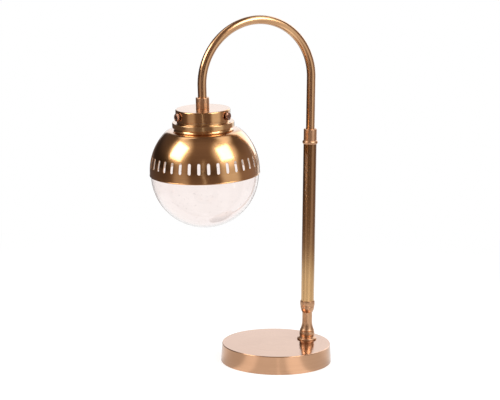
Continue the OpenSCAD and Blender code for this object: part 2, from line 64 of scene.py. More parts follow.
class Grain(enum.Enum):
    """Which way the fine scratches of a finish run."""

    BASE_RINGS = "rings round the middle of the base"
    POST_RINGS = "rings round the post"
    LENGTHWISE = "lines up the post"
    ALONG_BEND = "lines along the crook arm"
    HEAD_RINGS = "rings round the leaning head"


class Slot(str, enum.Enum):
    """The record's material slots."""

    BASE_BRASS = "base_brass"
    TURNED_BRASS = "turned_brass"
    POST_BRASS = "post_brass"
    TUBE_BRASS = "tube_brass"
    SPUN_BRASS = "spun_brass"
    SCREW_BRASS = "screw_brass"
    CAP_BRASS = "cap_brass"
    PLATED_STEEL = "plated_steel"
    CAST_IRON = "cast_iron"
    FELT = "felt"
    BLACK_RUBBER = "black_rubber"
    WHITE_PLASTIC = "white_plastic"
    WHITE_CERAMIC = "white_ceramic"
    SEEDED_GLASS = "seeded_glass"
    OPAL_GLASS = "opal_glass"
    FLEX = "flex"


def srgb(r: float, g: float, b: float) -> tuple[float, float, float, float]:
    """Turns a colour of 0 to 255 as seen on a screen into Blender's linear values.

    Args:
        r: Red.
        g: Green.
        b: Blue.

    Returns:
        Linear red, green, blue and an alpha of 1.
    """
    c = np.array([r, g, b]) / 255.0
    low = c / 12.92
    high = ((c + 0.055) / 1.055) ** 2.4
    lin = np.where(c <= 0.04045, low, high)
    return (float(lin[0]), float(lin[1]), float(lin[2]), 1.0)


# Outlines and surfaces


@dataclass(frozen=True)
class Run:
    """One run of an outline in the plane of radius and height.

    r and z are its end. bow is how far it swells out of the solid, or in where negative. ease is
    the rounding of the corner at its end; 0 says that the next run goes on smoothly.
    """

    r: float
    z: float
    bow: float = 0.0
    ease: float = 0.25


def bow_of(p: Sequence[float], q: Sequence[float], radius: float) -> float:
    """Bow of the shorter arc of a radius between two points: the radius less the chord's distance."""
    half = math.hypot(q[0] - p[0], q[1] - p[1]) / 2.0
    return radius - math.sqrt(radius * radius - half * half)


def sample_run(
    p: np.ndarray, q: np.ndarray, bow: float, cut_p: float, cut_q: float
) -> tuple[np.ndarray, np.ndarray]:
    """Points and unit tangents along one run, shortened at both ends.

    A straight run is start plus length times direction. A bowed one lies on the circle through
    both ends whose middle stands off the chord by the bow.

    Args:
        p: Start of the run.
        q: End of the run.
        bow: How far the run swells out.
        cut_p: Length left out at the start.
        cut_q: Length left out at the end.

    Returns:
        Points and tangents, one row each.
    """
    chord = q - p
    length = float(np.hypot(*chord))
    along = chord / length
    out = np.array([along[1], -along[0]])
    if abs(bow) < 1e-6:
        reach = np.array([cut_p, length - cut_q])
        return p + reach[:, None] * along, np.repeat(along[None], 2, axis=0)
    radius = (length * length / 4.0 + bow * bow) / (2.0 * abs(bow))
    half = 2.0 * math.atan(2.0 * abs(bow) / length)
    low, high = -half + cut_p / radius, half - cut_q / radius
    turn = np.linspace(low, high, max(5, int(math.degrees(high - low) / 2.5) + 2))
    side = math.copysign(1.0, bow)
    centre = (p + q) / 2.0 + out * (bow - side * radius)
    s, c = np.sin(turn)[:, None], np.cos(turn)[:, None]
    return centre + radius * (s * along + side * c * out), c * along - side * s * out


@dataclass(frozen=True)
class Outline:
    """A section with the solid on its left: points and normals as rows of (radius, height)."""

    points: np.ndarray
    normals: np.ndarray
    closed: bool

    @staticmethod
    def traced(start: tuple[float, float], runs: Sequence[Run], closed: bool = True) -> "Outline":
        """Follows the runs and rounds each corner.

        A corner is a cubic curve from one shortened run to the next that keeps both tangents. The
        normal is the tangent turned clockwise by a right angle.

        Args:
            start: First point.
            runs: The runs in order. A closed outline's last run ends at the start.
            closed: Whether the last point joins the first.

        Returns:
            The outline.
        """
        ends = [np.array(start, float)] + [np.array([run.r, run.z], float) for run in runs]
        lengths = [float(np.hypot(*(b - a))) for a, b in zip(ends, ends[1:])]
        count = len(runs)
        eases = []
        for i, run in enumerate(runs):
            ahead = lengths[(i + 1) % count]
            last = i == count - 1 and not closed
            eases.append(0.0 if last else min(run.ease, 0.45 * lengths[i], 0.45 * ahead))
        points, tangents = [], []
        for i, run in enumerate(runs):
            before = eases[i - 1] if (closed or i > 0) else 0.0
            p, t = sample_run(ends[i], ends[i + 1], run.bow, before, eases[i])
            if points and before == 0.0:
                p, t = p[1:], t[1:]
            points.append(p)
            tangents.append(t)
        rows, ways = [], []
        s = np.linspace(0.0, 1.0, 7)[1:-1, None]
        for i in range(count):
            rows.append(points[i])
            ways.append(tangents[i])
            if eases[i] == 0.0:
                continue
            a, ta = points[i][-1], tangents[i][-1]
            b, tb = points[(i + 1) % count][0], tangents[(i + 1) % count][0]
            c1, c2 = a + 0.55 * eases[i] * ta, b - 0.55 * eases[i] * tb
            u = 1.0 - s
            rows.append(u**3 * a + 3 * u * u * s * c1 + 3 * u * s * s * c2 + s**3 * b)
            ways.append(u * u * (c1 - a) + 2 * u * s * (c2 - c1) + s * s * (b - c2))
        line, way = np.concatenate(rows), np.concatenate(ways)
        if closed and np.allclose(line[0], line[-1], atol=1e-7):
            line, way = line[:-1], way[:-1]
        way = way / np.linalg.norm(way, axis=1, keepdims=True)
        return Outline(line, np.stack([way[:, 1], -way[:, 0]], axis=1), closed)


@dataclass
class Surface:
    """Points, normals and faces of a piece. inside is 1 on faces that look inwards, where it is set."""

    points: np.ndarray
    normals: np.ndarray
    quads: np.ndarray
    triangles: np.ndarray
    inside: Optional[np.ndarray] = None

    @staticmethod
    def joined(parts: Sequence["Surface"]) -> "Surface":
        """Puts several surfaces into one, without merging their points."""
        starts = np.cumsum([0] + [len(part.points) for part in parts[:-1]])
        marks = [
            np.zeros(len(part.points)) if part.inside is None else part.inside for part in parts
        ]
        return Surface(
            np.concatenate([part.points for part in parts]),
            np.concatenate([part.normals for part in parts]),
            np.concatenate([part.quads + n for part, n in zip(parts, starts)]),
            np.concatenate([part.triangles + n for part, n in zip(parts, starts)]),
            np.concatenate(marks),
        )

    def welded(self) -> "Surface":
        """Merges points that lie on each other, so that seams close."""
        keys = np.round(self.points, 4) + 0.0
        _, first, place = np.unique(keys, axis=0, return_index=True, return_inverse=True)
        place = place.reshape(-1)
        return Surface(
            self.points[first],
            self.normals[first],
            place[self.quads],
            place[self.triangles],
            None if self.inside is None else self.inside[first],
        )

    def open_edges(self) -> int:
        """Number of edges that only one face has."""
        pairs = [self.quads[:, [i, (i + 1) % 4]] for i in range(4)]
        pairs += [self.triangles[:, [i, (i + 1) % 3]] for i in range(3)]
        edges = np.sort(np.concatenate(pairs), axis=1)
        _, counts = np.unique(edges, axis=0, return_counts=True)
        return int(np.sum(counts == 1))


@dataclass(frozen=True)
class Place:
    """Where a piece's own frame stands in the lamp: its axes as columns, and its origin."""

    axes: np.ndarray
    origin: np.ndarray

    def carry(self, surface: Surface) -> Surface:
        """Moves a surface from its own frame into the lamp's: turned by the axes, then shifted."""
        return Surface(
            surface.points @ self.axes.T + self.origin,
            surface.normals @ self.axes.T,
            surface.quads,
            surface.triangles,
            surface.inside,
        )


def grid_faces(ids: np.ndarray, wrap_rows: bool, wrap_columns: bool) -> tuple[np.ndarray, np.ndarray]:
    """Faces of a grid of point numbers. A row that repeats one number is a pole.

    Each face takes a point, its neighbour along the row, the same two in the next row, so that it
    looks to the side where row direction cross column direction points.

    Args:
        ids: Point numbers, rows by columns.
        wrap_rows: Whether the last row joins the first.
        wrap_columns: Whether the last column joins the first.

    Returns:
        Quads and triangles.
    """
    ahead = np.roll(ids, -1, axis=1)
    lower, upper = ids, np.roll(ids, -1, axis=0)
    lower_ahead, upper_ahead = ahead, np.roll(ahead, -1, axis=0)
    quads = np.stack([lower, lower_ahead, upper_ahead, upper], axis=-1)
    if not wrap_rows:
        quads = quads[:-1]
    if not wrap_columns:
        quads = quads[:, :-1]
    quads = quads.reshape(-1, 4)
    low_pole = quads[:, 0] == quads[:, 1]
    high_pole = quads[:, 2] == quads[:, 3]
    triangles = np.concatenate([quads[low_pole][:, [0, 2, 3]], quads[high_pole][:, [0, 1, 2]]])
    return quads[~(low_pole | high_pole)], triangles


def compact(surface: Surface) -> Surface:
    """Drops points that no face uses and numbers the rest again."""
    used = np.unique(np.concatenate([surface.quads.ravel(), surface.triangles.ravel()]))
    number = np.zeros(len(surface.points), int)
    number[used] = np.arange(len(used))
    return Surface(
        surface.points[used],
        surface.normals[used],
        number[surface.quads],
        number[surface.triangles],
        None if surface.inside is None else surface.inside[used],
    )


Ripple = Callable[[np.ndarray, np.ndarray, np.ndarray], np.ndarray]


def revolve(
    outline: Outline, steps: int, ripple: Optional[Ripple] = None, begin: float = 0.0
) -> Surface:
    """Carries an outline round the upright axis.

    A point is (radius times cosine, radius times sine, height). Where a ripple is given, it
    changes the radius by place, and the normals are the cross product of the differences round
    and along the grid; otherwise they are the outline's own normals, turned with the point.

    Args:
        outline: The section.
        steps: Columns round the axis.
        ripple: Radius as a function of radius, height and angle.
        begin: Angle of the first column.

    Returns:
        The surface, with single points where the outline meets the axis.
    """
    turn = begin + np.linspace(0.0, 2.0 * math.pi, steps, endpoint=False)
    radius = np.repeat(outline.points[:, :1], steps, axis=1)
    height = np.repeat(outline.points[:, 1:], steps, axis=1)
    angle = np.repeat(turn[None], len(radius), axis=0)
    if ripple is not None:
        radius = ripple(radius, height, angle)
    c, s = np.cos(angle), np.sin(angle)
    points = np.stack([radius * c, radius * s, height], axis=-1)
    n_r = np.repeat(outline.normals[:, :1], steps, axis=1)
    n_z = np.repeat(outline.normals[:, 1:], steps, axis=1)
    normals = np.stack([n_r * c, n_r * s, n_z], axis=-1)
    poles = np.abs(outline.points[:, 0]) < 1e-9
    if ripple is not None:
        round_way = np.roll(points, -1, axis=1) - np.roll(points, 1, axis=1)
        if outline.closed:
            up_way = np.roll(points, -1, axis=0) - np.roll(points, 1, axis=0)
        else:
            up_way = np.gradient(points, axis=0)
        cross = np.cross(round_way, up_way)
        size = np.linalg.norm(cross, axis=-1, keepdims=True)
        usable = (size > 1e-9) & ~poles[:, None, None]
        normals = np.where(usable, cross / np.maximum(size, 1e-9), normals)
    ids = np.arange(radius.size).reshape(radius.shape)
    ids[poles] = ids[poles][:, :1]
    quads, triangles = grid_faces(ids, outline.closed, True)
    flat = Surface(points.reshape(-1, 3), normals.reshape(-1, 3), quads, triangles)
    return compact(flat)


@dataclass(frozen=True)
class Layout:
    """Places that several pieces share."""

    post_x: float = 58.0
    base_z: float = 30.6
    bend_z: float = 474.0
    ferrule_top: float = 388.4
    arm_r: float = 99.0
    arm_bend: float = 182.5
    arm_tail: float = 17.4
    arm_grip: float = 8.0
    seat_depth: float = 52.1
    dome_r: float = 88.8
    dome_depth: float = 119.26
    globe_r: float = 87.0
    globe_depth: float = 124.71
    screw_depth: float = 27.8
    screw_start: float = 63.0

    @property
    def bend_end(self) -> np.ndarray:
        """End of the bend on the tube's axis."""
        turn = math.radians(self.arm_bend)
        return np.array(
            [
                self.post_x - self.arm_r + self.arm_r * math.cos(turn),
                0.0,
                self.bend_z + self.arm_r * math.sin(turn),
            ]
        )

    @property
    def lean(self) -> float:
        """Angle by which the head's axis leans, in radians."""
        return math.radians(180.0 - self.arm_bend)

    def at_post(self, z: float) -> Place:
        """Upright frame on the post's axis at a height."""
        return Place(np.eye(3), np.array([self.post_x, 0.0, z]))

    def at_head(self) -> Place:
        """Leaning frame at the top of the head collar, in which depths are negative heights."""
        c, s = math.cos(self.lean), math.sin(self.lean)
        axes = np.array([[c, 0.0, s], [0.0, 1.0, 0.0], [-s, 0.0, c]])
        return Place(axes, self.bend_end + axes @ np.array([0.0, 0.0, -self.arm_tail]))

    def at_screw(self, index: int) -> Place:
        """Frame of a thumb screw, with its third axis pointing out of the cap."""
        head = self.at_head()
        turn = math.radians(self.screw_start + 120.0 * index)
        local = np.array(
            [
                [0.0, -math.sin(turn), math.cos(turn)],
                [0.0, math.cos(turn), math.sin(turn)],
                [-1.0, 0.0, 0.0],
            ]
        )
        down = head.axes @ np.array([0.0, 0.0, -self.screw_depth])
        return Place(head.axes @ local, head.origin + down)


LAYOUT = Layout()


# Finishes


class NodeDesk:
    """Lays out shader nodes in one tree."""

    def __init__(self, owner: bpy.types.ID, output: str) -> None:
        """Starts an empty node tree.

        Args:
            owner: The material or world that holds the tree.
            output: Class name of its output node.
        """
        owner.use_nodes = True
        self.owner = owner
        self.tree = owner.node_tree
        self.tree.nodes.clear()
        self.output = self.tree.nodes.new(output)
        self.coordinates = self.tree.nodes.new("ShaderNodeTexCoord")

    @staticmethod
    def for_material(name: str) -> "NodeDesk":
        """Desk of a new material."""
        return NodeDesk(bpy.data.materials.new(name), "ShaderNodeOutputMaterial")

    def add(self, kind: str, **settings: object) -> bpy.types.Node:
        """Adds a node and sets its plain properties.

        Args:
            kind: Blender's node class name.
            **settings: Properties of the node, by name.

        Returns:
            The node.
        """
        node = self.tree.nodes.new(kind)
        for key, value in settings.items():
            setattr(node, key, value)
        return node

    def feed(self, socket: bpy.types.NodeSocket, value: object) -> None:
        """Links a socket, or sets a number, on an input."""
        if isinstance(value, bpy.types.NodeSocket):
            self.tree.links.new(value, socket)
        else:
            socket.default_value = value

    def math(self, operation: str, *values: object) -> bpy.types.NodeSocket:
        """One Math node.

        Args:
            operation: The node's operation.
            *values: Sockets or numbers, one for each input.

        Returns:
            The result's socket.
        """
        node = self.add("ShaderNodeMath", operation=operation)
        for socket, value in zip(node.inputs, values):
            self.feed(socket, value)
        return node.outputs[0]

    def total(self, values: Sequence[object]) -> bpy.types.NodeSocket:
        """Sum of sockets and numbers."""
        result = values[0]
        for value in values[1:]:
            result = self.math("ADD", result, value)
        return result

    def vector(self, operation: str, *values: object) -> bpy.types.Node:
        """One Vector Math node, with its inputs fed in order."""
        node = self.add("ShaderNodeVectorMath", operation=operation)
        for socket, value in zip(node.inputs, values):
            self.feed(socket, value)
        return node

    def place(
        self, origin: Sequence[float] = (0.0, 0.0, 0.0), turn: Sequence[float] = (0.0, 0.0, 0.0)
    ) -> bpy.types.NodeSocket:
        """Object coordinates seen from a given place.

        Args:
            origin: The place that becomes the origin, in metres.
            turn: Euler angles of the place's axes.

        Returns:
            The vector's socket.
        """
        shift = self.add("ShaderNodeMapping", vector_type="TEXTURE")
        shift.inputs["Location"].default_value = origin
        shift.inputs["Rotation"].default_value = turn
        self.feed(shift.inputs["Vector"], self.coordinates.outputs["Object"])
        return shift.outputs[0]

    def parts(self, vector: bpy.types.NodeSocket) -> tuple[bpy.types.NodeSocket, ...]:
        """X, Y and Z of a vector."""
        split = self.add("ShaderNodeSeparateXYZ")
        self.feed(split.inputs[0], vector)
        return tuple(split.outputs)

    def join(self, x: object, y: object, z: object) -> bpy.types.NodeSocket:
        """Vector with the given sockets or numbers as its parts."""
        node = self.add("ShaderNodeCombineXYZ")
        for socket, value in zip(node.inputs, (x, y, z)):
            self.feed(socket, value)
        return node.outputs[0]

    def reach(self, x: bpy.types.NodeSocket, y: bpy.types.NodeSocket) -> bpy.types.NodeSocket:
        """Square root of x squared plus y squared."""
        squares = self.math("ADD", self.math("MULTIPLY", x, x), self.math("MULTIPLY", y, y))
        return self.math("SQRT", squares)

    def noise(
        self,
        vector: bpy.types.NodeSocket,
        scale: float,
        detail: float = 3.0,
        roughness: float = 0.55,
    ) -> bpy.types.NodeSocket:
        """Cloudy noise between 0 and 1.

        Args:
            vector: Coordinates.
            scale: Cells to the unit.
            detail: Octaves.
            roughness: Weight of the finer octaves.

        Returns:
            The factor's socket.
        """
        node = self.add("ShaderNodeTexNoise")
        node.inputs["Scale"].default_value = scale
        node.inputs["Detail"].default_value = detail
        node.inputs["Roughness"].default_value = roughness
        self.feed(node.inputs["Vector"], vector)
        return node.outputs["Fac"]

    def fit(
        self,
        value: bpy.types.NodeSocket,
        low: float,
        high: float,
        to_low: float,
        to_high: float,
        smooth: bool = False,
    ) -> bpy.types.NodeSocket:
        """Maps value from low..high onto to_low..to_high, held at the ends."""
        node = self.add("ShaderNodeMapRange")
        if smooth:
            node.interpolation_type = "SMOOTHSTEP"
        for key, number in (
            ("From Min", low),
            ("From Max", high),
            ("To Min", to_low),
            ("To Max", to_high),
        ):
            node.inputs[key].default_value = number
        self.feed(node.inputs["Value"], value)
        return node.outputs[0]

    def blend(
        self, factor: bpy.types.NodeSocket, first: object, second: object
    ) -> bpy.types.NodeSocket:
        """Mix of two colours, each a socket or a linear colour."""
        node = self.add("ShaderNodeMix", data_type="RGBA")
        self.feed(node.inputs[0], factor)
        self.feed(node.inputs[6], first)
        self.feed(node.inputs[7], second)
        return node.outputs[2]

    def mix_shaders(
        self, factor: object, first: bpy.types.Node, second: bpy.types.Node
    ) -> bpy.types.Node:
        """Mix Shader of two shader nodes: first where the factor is 0, second where it is 1."""
        node = self.add("ShaderNodeMixShader")
        self.feed(node.inputs[0], factor)
        self.feed(node.inputs[1], first.outputs[0])
        self.feed(node.inputs[2], second.outputs[0])
        return node

    def bump(
        self, height: bpy.types.NodeSocket, strength: float, distance: float
    ) -> bpy.types.NodeSocket:
        """Normal tipped by a height.

        Args:
            height: Height between 0 and 1.
            strength: Share of the effect.
            distance: What a height of 1 stands for, in metres.

        Returns:
            The normal's socket.
        """
        node = self.add("ShaderNodeBump")
        node.inputs["Strength"].default_value = strength
        node.inputs["Distance"].default_value = distance
        self.feed(node.inputs["Height"], height)
        return node.outputs[0]


@dataclass(frozen=True)
class BrassFinish:
    """Antiqued brass under clear lacquer, with fine scratches that run one way and cloudy tarnish."""

    slot: Slot
    colour: tuple[float, float, float, float]
    tarnish: tuple[float, float, float, float]
    roughness: float
    grain: Grain
    scratches: float = 900.0
    depth: float = 1.0e-6
    patch: float = 14.0
    streak: float = 0.35
    lacquer: float = 1.0
    lacquer_bending: float = 1.6
    lining: Optional[tuple[float, float, float, float]] = None
    # Heights in metres over which painted shade darkens the piece towards the tarnish colour going up.
    painted_shade_rise: Optional[tuple[float, float]] = None
    variant: str = ""

    def scratch_vector(self, desk: NodeDesk) -> bpy.types.NodeSocket:
        """Coordinates that change fast across the scratches and slowly along them.

        Args:
            desk: The material's desk.

        Returns:
            The vector's socket.
        """
        if self.grain is Grain.LENGTHWISE:
            x, y, z = desk.parts(desk.place((LAYOUT.post_x * MM, 0.0, 0.0)))
            return desk.join(
                desk.math("MULTIPLY", x, self.scratches),
                desk.math("MULTIPLY", y, self.scratches),
                desk.math("MULTIPLY", z, 3.0),
            )
        if self.grain is Grain.ALONG_BEND:
            centre_x = (LAYOUT.post_x - LAYOUT.arm_r) * MM
            x, y, z = desk.parts(desk.place((centre_x, 0.0, LAYOUT.bend_z * MM)))
            above = desk.math("MAXIMUM", z, 0.0)
            out = desk.math("SUBTRACT", desk.reach(x, above), LAYOUT.arm_r * MM)
            return desk.join(
                desk.math("MULTIPLY", out, self.scratches),
                desk.math("MULTIPLY", y, self.scratches),
                desk.math("MULTIPLY", desk.math("ADD", z, x), 4.0),
            )
        if self.grain is Grain.HEAD_RINGS:
            seen = desk.place(tuple(LAYOUT.bend_end * MM), (0.0, LAYOUT.lean, 0.0))
        elif self.grain is Grain.POST_RINGS:
            seen = desk.place((LAYOUT.post_x * MM, 0.0, 0.0))
        else:
            seen = desk.place()
        x, y, z = desk.parts(seen)
        return desk.join(
            desk.math("MULTIPLY", desk.reach(x, y), self.scratches),
            desk.math("MULTIPLY", z, self.scratches),
            desk.math("MULTIPLY", desk.math("ARCTAN2", y, x), 0.5),
        )

    def make(self) -> bpy.types.Material:
        """Builds the material.

        Tarnish is cloud noise plus a share of the scratch noise; it darkens the colour and
        roughens the surface. The scratches also tip the normal. With painted_shade_rise the colour
        stays near the bright colour under the first height and turns to the tarnish colour by the
        second one up: painted shade, darker up the post where it reflects the dim far floor. A
        lined finish turns to pale enamel where the piece's own "inside" attribute is 1.

        Returns:
            The finished material.
        """
        desk = NodeDesk.for_material(self.slot.value + self.variant)
        metal = desk.add("ShaderNodeBsdfPrincipled")
        metal.inputs["Metallic"].default_value = 1.0
        metal.inputs["Coat Weight"].default_value = self.lacquer
        metal.inputs["Coat IOR"].default_value = self.lacquer_bending
        metal.inputs["Coat Roughness"].default_value = 0.1
        across = self.scratch_vector(desk)
        fine = desk.noise(across, 1.0, 3.0, 0.6)
        cloud = desk.noise(desk.place(), self.patch, 4.0, 0.62)
        worn = desk.total(
            [desk.math("MULTIPLY", cloud, 1.0 - self.streak), desk.math("MULTIPLY", fine, self.streak)]
        )
        shade = desk.fit(worn, 0.34, 0.66, 1.0, 0.0)
        if self.painted_shade_rise is not None:
            # Painted shade: the tarnish colour's share rises with height, standing in for the dimmer reflection up
            # the post.
            _, _, height = desk.parts(desk.place())
            shade = desk.math("MINIMUM", shade, 0.25)
            shade = desk.math("ADD", shade, desk.fit(height, *self.painted_shade_rise, 0.0, 0.75, True))
        desk.feed(metal.inputs["Base Color"], desk.blend(shade, self.colour, self.tarnish))
        desk.feed(
            metal.inputs["Roughness"],
            desk.fit(worn, 0.34, 0.66, self.roughness * 1.15, self.roughness * 0.88),
        )
        desk.feed(metal.inputs["Normal"], desk.bump(fine, 0.5, self.depth))
        surface = metal
        if self.lining is not None:
            enamel = desk.add("ShaderNodeBsdfPrincipled")
            mottle = desk.noise(desk.place(), 60.0, 3.0, 0.5)
            pale = desk.blend(desk.fit(mottle, 0.35, 0.65, 0.0, 1.0), self.lining, srgb(246, 242, 236))
            desk.feed(enamel.inputs["Base Color"], pale)
            desk.feed(enamel.inputs["Roughness"], desk.fit(mottle, 0.3, 0.7, 0.3, 0.38))
            desk.feed(enamel.inputs["Normal"], desk.bump(mottle, 0.3, 2.0e-5))
            mark = desk.add("ShaderNodeAttribute", attribute_name="inside")
            side = desk.fit(mark.outputs["Fac"], 0.45, 0.55, 0.0, 1.0)
            surface = desk.mix_shaders(side, metal, enamel)
        desk.feed(desk.output.inputs["Surface"], surface.outputs[0])
        return desk.owner


@dataclass(frozen=True)
class MattFinish:
    """Painted, moulded or cast surface with a mottled colour."""

    slot: Slot
    colour: tuple[float, float, float, float]
    second: tuple[float, float, float, float]
    roughness: float
    mottle: float = 120.0
    depth: float = 2.0e-5
    metallic: float = 0.0
    coat: float = 0.0

    def make(self) -> bpy.types.Material:
        """Builds the material: cloud noise mixes two close colours and tips the normal.

        Returns:
            The finished material.
        """
        desk = NodeDesk.for_material(self.slot.value)
        skin = desk.add("ShaderNodeBsdfPrincipled")
        skin.inputs["Metallic"].default_value = self.metallic
        skin.inputs["Coat Weight"].default_value = self.coat
        cloud = desk.noise(desk.place(), self.mottle, 4.0, 0.6)
        mix = desk.fit(cloud, 0.35, 0.65, 0.0, 1.0)
        desk.feed(skin.inputs["Base Color"], desk.blend(mix, self.colour, self.second))
        desk.feed(
            skin.inputs["Roughness"],
            desk.fit(cloud, 0.3, 0.7, self.roughness * 0.9, min(1.0, self.roughness * 1.1)),
        )
        desk.feed(skin.inputs["Normal"], desk.bump(cloud, 0.5, self.depth))
        desk.feed(desk.output.inputs["Surface"], skin.outputs[0])
        return desk.owner


@dataclass(frozen=True)
class GlassFinish:
    """Clear blown glass, with slow waves in its surface and a faint warm cast."""

    slot: Slot = Slot.SEEDED_GLASS
    tint: tuple[float, float, float, float] = (0.99, 0.94, 0.925, 1.0)
    wave: float = 22.0
    wave_height: float = 6.0e-5
    bending: float = 1.42

    def make(self) -> bpy.types.Material:
        """Builds the material. Lamps and soft light pass straight through it.

        Returns:
            The finished material.
        """
        desk = NodeDesk.for_material(self.slot.value)
        glass = desk.add("ShaderNodeBsdfPrincipled")
        glass.inputs["Base Color"].default_value = self.tint
        glass.inputs["Roughness"].default_value = 0.0
        glass.inputs["IOR"].default_value = self.bending
        glass.inputs["Transmission Weight"].default_value = 1.0
        waves = desk.noise(desk.place(), self.wave, 2.0, 0.5)
        desk.feed(glass.inputs["Normal"], desk.bump(waves, 0.3, self.wave_height))
        clear = desk.add("ShaderNodeBsdfTransparent")
        clear.inputs["Color"].default_value = (0.99, 0.975, 0.966, 1.0)
        path = desk.add("ShaderNodeLightPath")
        soft = desk.math("MAXIMUM", path.outputs["Is Shadow Ray"], path.outputs["Is Diffuse Ray"])
        mix = desk.mix_shaders(soft, glass, clear)
        desk.feed(desk.output.inputs["Surface"], mix.outputs[0])
        return desk.owner


class FinishBook:
    """All finishes of the lamp, by the record's slot."""

    def __init__(self) -> None:
        """Makes every material once."""
        dome = (srgb(221, 168, 111), srgb(200, 146, 90))
        finishes = (
            BrassFinish(Slot.BASE_BRASS, srgb(209, 162, 127), srgb(198, 151, 116), 0.16, Grain.BASE_RINGS, 500.0, 4.0e-7, 8.0, lacquer=0.3),
            BrassFinish(Slot.TURNED_BRASS, srgb(222, 177, 138), srgb(204, 156, 118), 0.36, Grain.POST_RINGS, 900.0, 1.0e-7, 18.0, 0.15, lacquer=0.15),
            # The post's tarnish colour also serves as its painted shade, laid on more thickly going up.
            BrassFinish(Slot.POST_BRASS, srgb(228, 183, 124), srgb(147, 102, 59), 0.28, Grain.LENGTHWISE, 420.0, 6.0e-8, 12.0, 0.3, lacquer=0.6, painted_shade_rise=(0.13, 0.215)),
            BrassFinish(Slot.TUBE_BRASS, srgb(216, 168, 118), srgb(202, 150, 102), 0.22, Grain.ALONG_BEND, 500.0, 6.0e-8, 22.0, 0.15, lacquer=0.8),
            BrassFinish(Slot.SPUN_BRASS, dome[0], dome[1], 0.18, Grain.HEAD_RINGS, 600.0, 4.0e-7, 16.0, lacquer=0.75),
            BrassFinish(Slot.SCREW_BRASS, srgb(176, 120, 86), srgb(126, 80, 54), 0.26, Grain.HEAD_RINGS, 500.0, 8.0e-7, 160.0),
            MattFinish(Slot.CAP_BRASS, srgb(206, 186, 120), srgb(190, 168, 104), 0.3, 90.0, 4.0e-6, 1.0),
            MattFinish(Slot.PLATED_STEEL, srgb(190, 190, 194), srgb(170, 170, 176), 0.34, 140.0, 4.0e-6, 1.0),
            MattFinish(Slot.CAST_IRON, srgb(70, 70, 72), srgb(52, 52, 55), 0.7, 260.0, 2.5e-4),
            MattFinish(Slot.FELT, srgb(66, 74, 68), srgb(48, 56, 50), 0.95, 900.0, 3.0e-4),
            MattFinish(Slot.BLACK_RUBBER, srgb(38, 36, 34), srgb(28, 27, 26), 0.6, 200.0, 3.0e-5),
            MattFinish(Slot.WHITE_PLASTIC, srgb(228, 222, 208), srgb(220, 213, 197), 0.45, 160.0, 1.0e-5),
            MattFinish(Slot.WHITE_CERAMIC, srgb(240, 236, 226), srgb(232, 227, 216), 0.2, 90.0, 8.0e-6, 0.0, 0.4),
            MattFinish(Slot.OPAL_GLASS, srgb(250, 248, 242), srgb(246, 243, 236), 0.12, 30.0, 4.0e-6, 0.0, 0.3),
            MattFinish(Slot.FLEX, srgb(222, 208, 176), srgb(212, 197, 164), 0.5, 80.0, 1.0e-5),
            GlassFinish(),
        )
        self.materials = {finish.slot: finish.make() for finish in finishes}
        self.lined = BrassFinish(
            Slot.SPUN_BRASS, dome[0], dome[1], 0.18, Grain.HEAD_RINGS, 600.0, 4.0e-7, 16.0,
            lacquer=0.75, lining=srgb(250, 247, 241), variant="_lined",
        ).make()
        # A paler copy of the spun brass for the neck ring: painted highlight, lighter than the dome's brass so that
        # the ring reads as brightly lit.
        self.ring = BrassFinish(
            Slot.SPUN_BRASS, srgb(226, 180, 124), srgb(206, 158, 102), 0.2, Grain.HEAD_RINGS,
            600.0, 4.0e-7, 16.0, lacquer=0.75, variant="_ring",
        ).make()
        self.seeds = GlassFinish(wave_height=1.0e-5, bending=1.0 / 1.42).make()

    def of(self, slot: Slot) -> bpy.types.Material:
        """The material of a slot."""
        return self.materials[slot]


@dataclass
class SubAssembly:
    """Pieces that go together: nodes of the frame that are dressed, and pieces that replace nodes."""

    book: FinishBook
    NODES: ClassVar[dict[str, Slot]] = {}

    def dress(self) -> None:
        """Gives each carried-over node its finish."""
        for node, slot in self.NODES.items():
            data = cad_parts[node].data
            data.materials.clear()
            data.materials.append(self.book.of(slot))
            logger.info("dressed %s as %s", node, slot.value)

    def add(
        self,
        name: str,
        surface: Surface,
        slot: Slot,
        replaces: Sequence[str] = (),
        body: Body = Body.LAMP,
        material: Optional[bpy.types.Material] = None,
    ) -> bpy.types.Object:
        """Makes a piece from a surface in the lamp's frame, and lets it ride on a body.

        Args:
            name: Name of the piece.
            surface: Its points, normals and faces, in millimetres.
            slot: The record's slot of its finish.
            replaces: Nodes of the frame that it stands for.
            body: The body that carries it.
            material: A finish other than the slot's own.

        Returns:
            The piece's object, at the origin.
        """
        mesh = bpy.data.meshes.new(name)
        mesh.vertices.add(len(surface.points))
        mesh.vertices.foreach_set("co", (surface.points * MM).astype(np.float32).ravel())
        loops = np.concatenate([surface.quads.ravel(), surface.triangles.ravel()])
        sizes = np.concatenate(
            [np.full(len(surface.quads), 4), np.full(len(surface.triangles), 3)]
        )
        starts = np.concatenate([[0], np.cumsum(sizes)[:-1]])
        mesh.loops.add(len(loops))
        mesh.loops.foreach_set("vertex_index", loops.astype(np.int32))
        mesh.polygons.add(len(sizes))
        mesh.polygons.foreach_set("loop_start", starts.astype(np.int32))
        mesh.update(calc_edges=True)
        mesh.polygons.foreach_set("use_smooth", np.ones(len(sizes), bool))
        if surface.inside is not None:
            mark = mesh.attributes.new("inside", "FLOAT", "POINT")
            mark.data.foreach_set("value", surface.inside.astype(np.float32))
        size = np.linalg.norm(surface.normals, axis=1, keepdims=True)
        mesh.normals_split_custom_set_from_vertices(surface.normals / np.maximum(size, 1e-12))
        mesh.materials.append(material or self.book.of(slot))
        piece = bpy.data.objects.new(name, mesh)
        bpy.context.scene.collection.objects.link(piece)
        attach(piece, body.value)
        if replaces:
            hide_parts(*replaces)
        logger.info("built %s: %d faces, %d open edges", name, len(sizes), surface.open_edges())
        return piece

    def build(self) -> None:
        """Dresses the nodes. A sub-assembly with pieces of its own adds them here."""
        self.dress()


# The sub-assemblies


